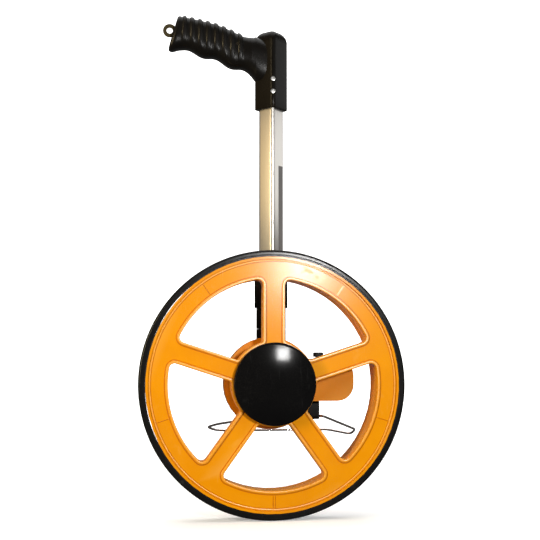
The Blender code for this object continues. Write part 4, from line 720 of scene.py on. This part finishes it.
def diamond(side, corner, steps):
    # squares with round corners, turned so that their corners lie along X and Y: corner k is an arc
    # about a point on that axis. side and corner may be columns, one row for each square
    side, corner = np.atleast_1d(side)[:, None], np.atleast_1d(corner)[:, None]
    a = np.radians(np.linspace(-45, 45, steps + 1))[None, :]
    reach = (side / 2 - corner) * math.sqrt(2)
    parts = []
    for k in np.radians([0, 90, 180, 270]):
        x = reach * math.cos(k) + corner * np.cos(a + k)
        y = reach * math.sin(k) + corner * np.sin(a + k)
        parts.append(np.stack([x, y], axis=2))
    return np.roll(np.concatenate(parts, axis=1), -(steps // 2), axis=1)


def squareRings(side, corner, z):
    # such squares round the pole's middle line, one at each height
    outline = diamond(side, corner, column["cornerSteps"])
    x, y = outline[:, :, 0] + pole.x, outline[:, :, 1] + pole.y
    return np.stack([x, y, z[:, None] + 0 * x], axis=2)


def columnRows(front):
    # outlines from the bottom to the domed top: at angle t the dome has risen by sin t and drawn in by
    # 1 - cos t
    foot, dome = column["bottomRound"], column["top"] - column["shoulder"]
    t = np.radians(np.linspace(0, 88, 20))
    straight = column["bottom"] + np.linspace(*column["wallLevels"], 12)
    z = np.concatenate([column["bottom"] + foot * np.array([0, 0.3, 1]), straight,
                        column["shoulder"] + dome * np.sin(t)])
    side = column["side"] * np.ones(len(z))
    side[:3] -= foot * np.array([2, 0.6, 0])
    side[-len(t):] *= 1 - column["narrowing"] * (1 - np.cos(t))
    rows = squareRings(side, np.minimum(column["corner"], side * 0.3), z)
    half = rows.shape[1] // 2
    part = np.concatenate([rows[:, half:], rows[:, :1]], axis=1) if front else rows[:, :half + 1]
    part[:, :, 1] += -halfGap if front else halfGap
    return part


def ribValley(along):
    # how far the skin lies below the rib tops, from 0 on a rib to 1 between ribs, by a smooth step
    first, pitch = grip["ribFirst"], grip["ribPitch"]
    number = np.clip(np.round((along - first) / pitch), 0, grip["ribs"] - 1)
    away = np.abs(along - first - number * pitch) / pitch
    t = np.clip((away - grip["ribTop"]) / grip["ribSlope"], 0, 1)
    last = first + (grip["ribs"] - 1) * pitch
    fade = np.clip((along - last - 0.4 * pitch) / pitch, 0, 1)
    return t * t * (3 - 2 * t) * (1 - fade)


def gripRows(front):
    # outlines from the grip's end to inside the column. An outline is a rounded box, side = |cos a|^(2/n)
    # and up = |sin a|^(2/n), with ribs on its upper part and a belly with finger waves along its bottom
    stop = grip["length"] - grip["intoColumn"]
    rounding = grip["endRound"] * (1 - np.cos(np.linspace(0, np.pi / 2, 12)))
    even = np.arange(grip["endRound"], stop, grip["pitch"])
    along = np.concatenate([rounding[:-1], even, [stop]])[:, None]
    x = pole.x - grip["length"] + along
    share = 1 - along / grip["length"]
    middle = grip["root"] + share * grip["length"] * math.tan(math.radians(grip["drop"]))
    middle = middle + 4 * grip["arch"] * share * (1 - share)
    height = grip["height"] - grip["taper"] * along / grip["length"]

    # what is added to the bottom and taken from the top along the way
    heel = np.clip(1 - along / grip["heelLength"], 0, 1) ** 2 * grip["heel"]
    wave = grip["wave"] * np.cos(2 * np.pi * grip["waves"] * along / (grip["length"] - column["side"] / 2))
    belly = grip["belly"] * np.clip((along - grip["bellyStart"]) / grip["bellyLength"], 0, 1)
    sink = grip["endSink"] * np.clip(1 - along / grip["endSinkLength"], 0, 1)
    saddle = grip["saddle"] * np.exp(-((along - grip["saddleAt"]) / grip["saddleWidth"]) ** 2)
    lean = grip["lean"] * np.clip(1 - along / grip["heelLength"] / 2, 0, 1) ** 2
    ends = np.clip(along / grip["endRound"], 0, 1)
    endInset = grip["endRound"] * (1 - np.sqrt(1 - (1 - ends) ** 2))
    columnEdge = grip["length"] - column["side"] / math.sqrt(2) + column["corner"] * 0.4
    flare = np.clip((along - columnEdge + grip["flareLength"]) / grip["flareLength"], 0, 0.985)
    flare = 1 - np.sqrt(1 - flare ** 2)

    a = np.linspace(np.pi / 2, 3 * np.pi / 2, grip["halfSteps"] + 1)[None, :]
    if not front:
        a = a - np.pi
    power = 2 / grip["squareness"]
    side = np.sign(np.cos(a).round(9)) * np.abs(np.cos(a).round(9)) ** power
    up = np.sign(np.sin(a)) * np.abs(np.sin(a)) ** power
    inset = grip["ribDepth"] * ribValley(along) * np.clip(up + grip["reach"], 0, 1)
    upper = height / 2 - inset - endInset * grip["endUpper"] - sink - saddle + flare * grip["flareTop"]
    lower = height / 2 + grip["lowerExtra"] - inset - endInset * grip["endLower"] + heel + wave + belly
    lower = lower + flare * grip["flareBottom"]
    z = up * np.where(up > 0, upper, lower)
    y = pole.y + side * (grip["depth"] / 2 - inset - endInset) + (-halfGap if front else halfGap)
    return np.stack([x + lean * z, y, middle + z], axis=2)


def screwRecess(screwNode):
    spot, low = middleOf(screwNode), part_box(screwNode)[0]
    start, end = low.y + column["recessDepth"], low.y - column["recessReach"]
    return rodCutter((spot.x, start, spot.z), (spot.x, end, spot.z), column["screwRecess"])


def makeHandle():
    for front, node in ((True, "handle_front_shell"), (False, "handle_back_shell")):
        upright = loftPiece(node + "_column", columnRows(front))
        if front:
            cutBy(upright, [screwRecess("handle_screw_1"), screwRecess("handle_screw_2")])
        placed(upright, "upper_pole", "grip_plastic", columnPlastic, node)
        ribbed = loftPiece(node + "_grip", gripRows(front), angle=50)
        placed(ribbed, "upper_pole", "grip_plastic", gripPlastic, node)


makeHandle()
print("handle made")


# Screws: pan heads with a cross recess

screw = {
    "head": 0.0028, "handleHead": 0.0033, "height": 0.0018, "round": 0.0009, "shank": 0.0014, "slot": 0.0011,
    "slotLength": 0.003, "slotDepth": 0.0012, "stemSeat": 0.0133, "stemLength": 0.006, "steps": 40}


def makeScrew(node, seat, direction, length, head):
    # a turned profile along Y with two slots cut in its head, then turned to its direction and moved
    shank, height, turn, depth = screw["shank"], screw["height"], screw["round"], screw["slotDepth"]
    foot = [(0, length), (shank / 2, length), (shank, length - shank / 2), (shank, 0), (head, 0)]
    corner = arcPoints((head - turn, turn - height), turn, 0, -80, 6)
    profile = np.concatenate([foot, corner, [(0, -height)]])
    piece = turnedPiece(node + "_finished", profile, screw["steps"], 0, 0, closed=False)
    slots = []
    for wide, high in ((screw["slotLength"], screw["slot"]), (screw["slot"], screw["slotLength"])):
        flat = np.array([[-1, -1], [1, -1], [1, 1], [-1, 1]]) / 2 * [wide, high]
        levels = (depth - height, -depth - height)
        ends = [np.column_stack([flat[:, 0], np.full(4, y), flat[:, 1]]) for y in levels]
        slots.append(loftPiece("slot", np.array(ends)))
    cutBy(piece, slots)
    facing = Vector(direction).to_track_quat("-Y", "Z").to_matrix().to_4x4()
    piece.data.transform(Matrix.Translation(seat) @ facing)
    placed(piece, nodes[node]["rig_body"], "zinc_steel", zincSteel, node)


def makeScrews():
    head, wide, height = screw["head"], screw["handleHead"], screw["height"]
    for name, count, direction, radius in (
            ("handle_screw", 2, (0, -1, 0), wide), ("case_screw", 2, (0, 1, 0), head),
            ("gear_screw", 3, (0, 1, 0), head), ("counter_screw", 3, (0, 1, 0), head),
            ("bracket_screw", 2, (0, 0, -1), head)):
        look = Vector(direction)
        for number in range(1, count + 1):
            node = f"{name}_{number}"
            low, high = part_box(node)
            middle, half = (low + high) / 2, abs((high - low).dot(look)) / 2
            makeScrew(node, middle + look * (half - height), direction, 2 * half - height, radius)
    slant = math.sqrt(0.5)
    for node in ("stem_screw_1", "stem_screw_2"):
        seat = (pole.x + screw["stemSeat"] * slant, pole.y + screw["stemSeat"] * slant, middleOf(node).z)
        makeScrew(node, seat, (slant, slant, 0), screw["stemLength"], head)


makeScrews()
print("screws made")


# Pole: two collars, three square tubes with holes for the lock buttons, and a plain strip on the outer one

tube = {
    "wall": 0.0012, "edge": 0.0003, "buttonHole": 0.0033, "screwHole": 0.0018,
    "side": {"outer_tube": 0.0225, "middle_tube": 0.0195, "inner_tube": 0.0165},
    "corner": {"outer_tube": 0.0045, "middle_tube": 0.003, "inner_tube": 0.002},
    "button": {"outer_tube": "upper_lock_button", "middle_tube": "lower_lock_button"},
    "screws": {"outer_tube": ("handle_screw_1", "handle_screw_2"),
               "inner_tube": ("stem_screw_1", "stem_screw_2")}}
collar = {
    "side": {"lower_collar": 0.026, "upper_collar": 0.029}, "corner": 0.003, "edge": 0.0003,
    "holds": {"lower_collar": "middle_tube", "upper_collar": "outer_tube"},
    "seatCorner": 0.002, "room": 0.0003, "shoulder": 0.0025}
strip = {"left": -0.0004, "right": 0.0078, "top": 0.3957, "thickness": 0.00012, "aboveCollar": 0.001}


def buttonCutter(button, side):
    # from the pole's middle line out through the wall that a lock button sticks through
    height, reach = middleOf(button).z, math.sqrt(0.5) * side
    return rodCutter((pole.x, pole.y, height), (pole.x - reach, pole.y + reach, height), tube["buttonHole"])


def makeCollar(node):
    # outer outlines from bottom to top, the seat down to the shoulder, then the narrower way through
    low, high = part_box(node)
    side, edge, held = collar["side"][node], collar["edge"], collar["holds"][node]
    seat, passage = tube["side"][held] + 2 * collar["room"], tube["side"][held] - 2 * tube["wall"]
    shelf = low.z + collar["shoulder"]
    sides = np.array([side - edge, side, side, side - edge, seat, seat, passage, passage])
    z = np.array([low.z, low.z + edge, high.z - edge, high.z, high.z, shelf, shelf, low.z])
    corners = np.where(sides > seat + edge, collar["corner"], collar["seatCorner"])
    piece = loftPiece(node + "_finished", squareRings(sides, corners, z), closeRows=True)
    cutBy(piece, [buttonCutter(tube["button"][held], side)])
    placed(piece, nodes[node]["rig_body"], "black_plastic", blackPlastic, node)


def makeTube(node):
    # outer outlines from bottom to top, then inner ones back down, closed in a ring
    low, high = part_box(node)
    side, corner, edge = tube["side"][node], tube["corner"][node], tube["edge"]
    inner = side - 2 * tube["wall"]
    sides = np.array([side, side, side - edge, inner + edge, inner, inner, inner + edge, side - edge])
    z = np.array([low.z + edge, high.z - edge, high.z, high.z, high.z - edge, low.z + edge, low.z, low.z])
    corners = np.where(sides > inner + 2 * edge, corner, corner - tube["wall"])
    piece = loftPiece(node + "_finished", squareRings(sides, corners, z), closeRows=True)
    cutters = [buttonCutter(tube["button"][node], side)] if node in tube["button"] else []
    reach = math.sqrt(0.5) * side
    for screwNode in tube["screws"].get(node, ()):
        height = middleOf(screwNode).z
        if node == "outer_tube":
            ends = (pole.x, pole.y - reach, height), (pole.x, pole.y + reach, height)
        else:
            ends = (pole.x, pole.y, height), (pole.x + reach, pole.y + reach, height)
        cutters.append(rodCutter(*ends, tube["screwHole"]))
    cutBy(piece, cutters)
    placed(piece, nodes[node]["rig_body"], "aluminium", tubeMetal, node)


def makeStrip():
    # a thin plain strip on the tube's right front face
    out = np.array([math.sqrt(0.5), -math.sqrt(0.5)])
    across = np.array([math.sqrt(0.5), math.sqrt(0.5)])
    face, bottom = tube["side"]["outer_tube"] / 2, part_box("upper_collar")[1].z + strip["aboveCollar"]
    left, right, thick = strip["left"], strip["right"], strip["thickness"]
    ring = np.array([(left, 0), (right, 0), (right, thick), (left, thick)])
    flat = np.array([pole.x, pole.y]) + across * ring[:, :1] + out * (face + ring[:, 1:])
    rows = np.array([np.column_stack([flat, np.full(4, z)]) for z in (bottom, strip["top"])])
    placed(loftPiece("tube_strip", rows), "upper_pole", "aluminium", stripInk)


for node in collar["side"]:
    makeCollar(node)
for node in tube["side"]:
    makeTube(node)
makeStrip()
print("pole made")


# Wire stand: a bent loop that swings in the bracket, with its right front corner dipped

stand = {
    "radius": 0.0015,
    "corners": (
        (0.0025, 0.0500, 0.1070, 0.005), (0.0658, 0.0500, 0.1070, 0.005), (0.1275, 0.1500, 0.0838, 0.010),
        (0.1225, 0.1610, 0.0778, 0.005), (0.1040, 0.1620, 0.0815, 0.006), (0.0930, 0.1620, 0.0836, 0.006),
        (-0.0460, 0.1620, 0.0836, 0.010), (-0.0600, 0.1430, 0.0890, 0.010),
        (-0.0500, 0.1150, 0.0945, 0.010))}


def makeStand():
    rows = tubeRows(roundedPath(stand["corners"]), stand["radius"], 20, closed=True)
    piece = loftPiece("stand_wire_finished", rows, closeRows=True)
    placed(piece, "stand", "dark_chrome_wire", wireMetal, "stand_wire")


makeStand()
print("stand made")


# Reset button: a square cap with a skirt round its spring, on a round stem

reset = {"half": 0.0054, "height": 0.0052, "edge": 0.0012, "lip": 0.0003, "squareness": 7,
         "stemRadius": 0.0018, "cavity": 0.0038, "cavityHeight": 0.001, "steps": 64}
spring = {"radius": 0.0029, "wire": 0.0005, "turns": 2, "steps": 96, "keep": 0.3}


def makeReset():
    # each level is a ring r (cos a, sin a). On square levels r = half / (|cos a|^n + |sin a|^n)^(1/n)
    low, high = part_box("reset_button")
    middle, top = (low + high) / 2, high.z
    half, edge, lip, skirt = reset["half"], reset["edge"], reset["lip"], top - reset["height"]
    ceiling = skirt + reset["cavityHeight"]
    stem = np.array([(reset["stemRadius"], low.z), (reset["stemRadius"], ceiling),
                     (reset["cavity"], ceiling), (reset["cavity"], skirt)])
    t = np.radians(np.linspace(0, 90, 7))
    corner = np.stack([half - edge * (1 - np.cos(t)), top - edge * (1 - np.sin(t))], axis=1)
    square = np.concatenate([[(half - lip, skirt), (half, skirt + lip)], corner])
    a = np.linspace(0, 2 * np.pi, reset["steps"], endpoint=False)[None, :]
    n = reset["squareness"]
    shape = 1 / (np.abs(np.cos(a)) ** n + np.abs(np.sin(a)) ** n) ** (1 / n)
    r = np.concatenate([stem[:, :1] + 0 * a, square[:, :1] * shape])
    z = np.concatenate([stem[:, 1], square[:, 1]])[:, None] + 0 * a
    rows = np.stack([middle.x + r * np.cos(a), middle.y + r * np.sin(a), z], axis=2)
    placed(loftPiece("reset_button_finished", rows), "reset", "black_plastic", blackPlastic, "reset_button")


def makeSpring():
    # the wire's middle line is (R cos a, R sin a) with an even rise
    low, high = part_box("reset_spring")
    middle, wire = (low + high) / 2, spring["wire"]
    share = np.linspace(0, 1, spring["steps"] * spring["turns"])
    a = 2 * np.pi * spring["turns"] * share
    x, y = middle.x + spring["radius"] * np.cos(a), middle.y + spring["radius"] * np.sin(a)
    path = np.column_stack([x, y, low.z + wire + (high.z - low.z - 2 * wire) * share])
    piece = loftPiece("reset_spring_finished", tubeRows(path, wire, 12))
    placed(piece, "frame", "zinc_steel", zincSteel, "reset_spring")
    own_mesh(piece)


makeReset()
makeSpring()
print("reset button made")


# Number drums: round drums with figures laid round them

drums = {"radius": 0.01545, "edge": 0.0003, "bore": 0.0028, "figureHeight": 0.0038, "doubleShare": 0.82,
         "lift": 0.00004, "tickLength": 0.0016, "tickHalf": 0.00015, "steps": 120}


def figureShape(text, height):
    # the outline of some figures as points and triangles, centred, with short edges
    curve = bpy.data.curves.new("figure", "FONT")
    curve.body = text
    curve.size = height * 1.4
    curve.align_x = "CENTER"
    curve.resolution_u = 3
    holder = newObject("figure", curve)
    bpy.context.view_layer.update()
    mesh = bpy.data.meshes.new_from_object(holder.evaluated_get(bpy.context.evaluated_depsgraph_get()))
    work = bmesh.new()
    work.from_mesh(mesh)
    bmesh.ops.triangulate(work, faces=work.faces)
    longEdges = [e for e in work.edges if e.calc_length() > height / 5]
    bmesh.ops.subdivide_edges(work, edges=longEdges, cuts=2)
    bmesh.ops.triangulate(work, faces=work.faces)
    work.to_mesh(mesh)
    work.free()
    points = np.array([v.co for v in mesh.vertices])
    faces = [list(p.vertices) for p in mesh.polygons]
    bpy.data.objects.remove(holder, do_unlink=True)
    bpy.data.meshes.remove(mesh)
    return points - (points.max(axis=0) + points.min(axis=0)) / 2, faces


def wrapped(points, angle, y):
    # flat figures laid on the drum: their height runs with the drum's turn, their width toward the front
    radius = drums["radius"] + drums["lift"]
    a = angle + points[:, 1] / radius
    x, z = counter.x + radius * np.sin(a), counter.z + radius * np.cos(a)
    return np.column_stack([x, y - points[:, 0], z])


def outwardFigures(name, points, faces):
    # the joined figures as one mesh whose faces all look away from the drums' shaft
    mesh = bpy.data.meshes.new(name)
    mesh.from_pydata(points.tolist(), [], faces)
    work = bmesh.new()
    work.from_mesh(mesh)
    centre, flat = Vector((counter.x, 0, counter.z)), Vector((1, 0, 1))
    inward = [f for f in work.faces if f.normal.dot((f.calc_center_median() - centre) * flat) < 0]
    bmesh.ops.reverse_faces(work, faces=inward)
    work.to_mesh(mesh)
    work.free()
    return newObject(name, mesh)


def makeDrum(node, labels, ink):
    low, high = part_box(node)
    edge, middle, body = drums["edge"], (low.y + high.y) / 2, nodes[node]["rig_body"]
    profile = np.concatenate([
        [(drums["bore"], low.y)], arcPoints((drums["radius"] - edge, low.y + edge), edge, -90, 0, 4),
        arcPoints((drums["radius"] - edge, high.y - edge), edge, 0, 90, 4), [(drums["bore"], high.y)]])
    drum = turnedPiece(node + "_finished", profile, drums["steps"], counter.x, counter.z)
    placed(drum, body, "drum_white", drumPlastic, node)

    step = 2 * math.pi / len(labels)
    across = (high.y - low.y) / 2 - edge - np.linspace(drums["tickLength"], 0, 5)
    tick = np.array([[x, y, 0] for y in (-drums["tickHalf"], drums["tickHalf"]) for x in across])
    tickFaces = [[j, j + 1, j + 6, j + 5] for j in range(4)]
    parts = []
    for number, label in enumerate(labels):
        height = drums["figureHeight"] * (1 if len(label) == 1 else drums["doubleShare"])
        points, faces = figureShape(label, height)
        parts.append((wrapped(points, -number * step, middle), faces))
        parts.append((wrapped(tick, -(number + 0.5) * step, middle), tickFaces))
    placed(outwardFigures(node + "_figures", *joined(parts)), body, "drum_white", ink)


makeDrum("inch_drum", [str(n) for n in range(12)], inchFigureInk)
for name in ("ones", "tens", "hundreds"):
    makeDrum(f"feet_drum_{name}", [str(n) for n in range(10)], figureInk)
print("counter made")


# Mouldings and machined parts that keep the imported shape, with round edges of their own width

finishes = (
    # the gear case is painted a darker orange as shade
    (shadedCasePlastic, "orange_plastic", 0.0006, ("gear_case",)),
    (orangePlastic, "orange_plastic", 0.0006, ("counter_box",)),
    (blackPlastic, "black_plastic", 0.00012, (
        "stem", "case_back_plate", "inner_tube_plug", "middle_tube_plug")),
    (blackPlastic, "black_plastic", 0.0016, ("stand_bracket",)),
    (blackPlastic, "black_plastic", 0.0002, ("lower_lock_button", "upper_lock_button")),
    (zincSteel, "zinc_steel", 0.0003, (
        "axle_bolt", "axle_nut", "front_washer", "rear_washer", "bearing_sleeve", "rear_sleeve",
        "front_bearing", "rear_bearing", "idler_pin", "counter_shaft", "carry_shaft")),
    (eyeMetal, "zinc_steel", 0.0009, ("hanging_eye",)),
    (gearPlastic, "gear_plastic", 0.00012, (
        "drive_gear", "idler_gear", "counter_pinion", "carry_pinion_ones", "carry_pinion_tens",
        "carry_pinion_hundreds")),
    (clearPlastic, "clear_plastic", 0.0002, ("counter_window",)))
broadEdge = 0.0008  # edges from this width on are rounded in four steps, narrower ones in two
for material, slot, width, names in finishes:
    for node in names:
        softened(node, slot, material, width, steps=2 if width < broadEdge else 4)


# Floor, light and camera

studio = {
    "floorColour": colour(246, 245, 243), "floorShade": colour(249, 249, 248), "floorGlow": 0.3,
    "floorNear": -5.0, "floorHalf": 7.0, "wallY": 4.4, "wallTop": 5.0, "bend": 1.2,
    "world": (1.0, 1.0, 1.0), "worldStrength": 0.12,
    "camera": (-0.1541, -1.0896, 0.1738), "yaw": 8.0, "pitch": 5.0, "focus": 1000 / 540 * 36,
    "shift": (-0.002, 0.0)}
lights = {
    # place, where it looks, size, power, tint, spread in degrees
    "keyLight": ((0.30, -1.53, 0.42), (0.0, 0.0, 0.2), (0.12, 0.12), 2.0, (1.0, 0.99, 0.98), 70),
    "ridgeLight": ((-1.3, -0.78, 0.6), (0.0, 0.0, 0.4), (0.10, 1.0), 6.5, (1.0, 0.80, 0.46), 120),
    "leftLight": ((-1.5, -0.2, 0.78), (0.0, 0.0, 0.74), (1.2, 0.86), 1.7, (1.0, 0.66, 0.24), 180),
    "rightLight": ((1.5, 0.25, 0.78), (0.0, 0.0, 0.74), (1.2, 0.86), 3.5, (1.0, 1.0, 1.0), 180),
    "cornerLight": ((1.25, -0.9, 0.74), (0.0, 0.0, 0.5), (0.5, 0.8), 1.6, (1.0, 1.0, 1.0), 180),
    "topLight": ((0.0, 0.3, 2.4), (0.0, 0.1, 0.0), (3.0, 3.0), 41.5, (1.0, 1.0, 1.0), 150),
    "backLight": ((0.0, 1.9, 2.4), (0.0, 3.8, 0.7), (5.0, 1.2), 230.0, (1.0, 1.0, 1.0), 180)}


def makeFloor():
    # a floor that curves up into a wall behind: a profile swept sideways
    bend, wallY = studio["bend"], studio["wallY"]
    turn = arcPoints((wallY - bend, bend), bend, -90, 0, 16)
    line = np.concatenate([[(studio["floorNear"], 0.0)], turn, [(wallY, studio["wallTop"])]])
    x = np.linspace(-studio["floorHalf"], studio["floorHalf"], 3)[:, None]
    rows = np.stack([x + 0 * line[:, 0], line[:, 0] + 0 * x, line[:, 1] + 0 * x], axis=2)
    floor = meshPiece("floor", rows.reshape(-1, 3), gridFaces(3, len(line), False, False), angle=60)
    if floor.data.polygons[0].normal.z < 0:
        floor.data.flip_normals()
    material, tree, shader, place = newMaterial("paleFloor")
    tone = mixColour(tree, noise(tree, place, 3.0, 4.0), studio["floorColour"], studio["floorShade"])
    tree.links.new(tone, shader["Base Color"])
    shader["Roughness"].default_value = 0.8
    shader["Emission Color"].default_value = (1.0, 1.0, 1.0, 1.0)  # white like the sheet of a cut-out
    shader["Emission Strength"].default_value = studio["floorGlow"]
    floor.data.materials.append(material)
    floor.visible_diffuse = False  # it gives no light back and no reflections, as in a cut-out picture
    floor.visible_glossy = False


def makeLights():
    for name, (place, target, size, power, tint, spread) in lights.items():
        light = bpy.data.lights.new(name, "AREA")
        light.shape = "RECTANGLE"
        light.size, light.size_y = size
        light.energy = power
        light.color = tint
        light.spread = math.radians(spread)
        holder = newObject(name, light)
        holder.location = place
        holder.rotation_euler = (Vector(target) - Vector(place)).to_track_quat("-Z", "Y").to_euler()
    world = bpy.data.worlds.new("studio")
    world.use_nodes = True
    background = world.node_tree.nodes["Background"]
    background.inputs["Color"].default_value = (*studio["world"], 1.0)
    background.inputs["Strength"].default_value = studio["worldStrength"]
    bpy.context.scene.world = world


def makeCamera():
    camera = bpy.data.cameras.new("camera")
    camera.lens = studio["focus"]
    camera.sensor_width = 36
    camera.shift_x, camera.shift_y = studio["shift"]
    holder = newObject("camera", camera)
    yaw, pitch = math.radians(studio["yaw"]), math.radians(studio["pitch"])
    look = Vector((math.sin(yaw) * math.cos(pitch), math.cos(yaw) * math.cos(pitch), math.sin(pitch)))
    holder.location = studio["camera"]
    holder.rotation_euler = look.to_track_quat("-Z", "Y").to_euler()
    bpy.context.scene.camera = holder
    bpy.context.scene.view_settings.view_transform = "Standard"


makeFloor()
makeLights()
makeCamera()
print("studio made")
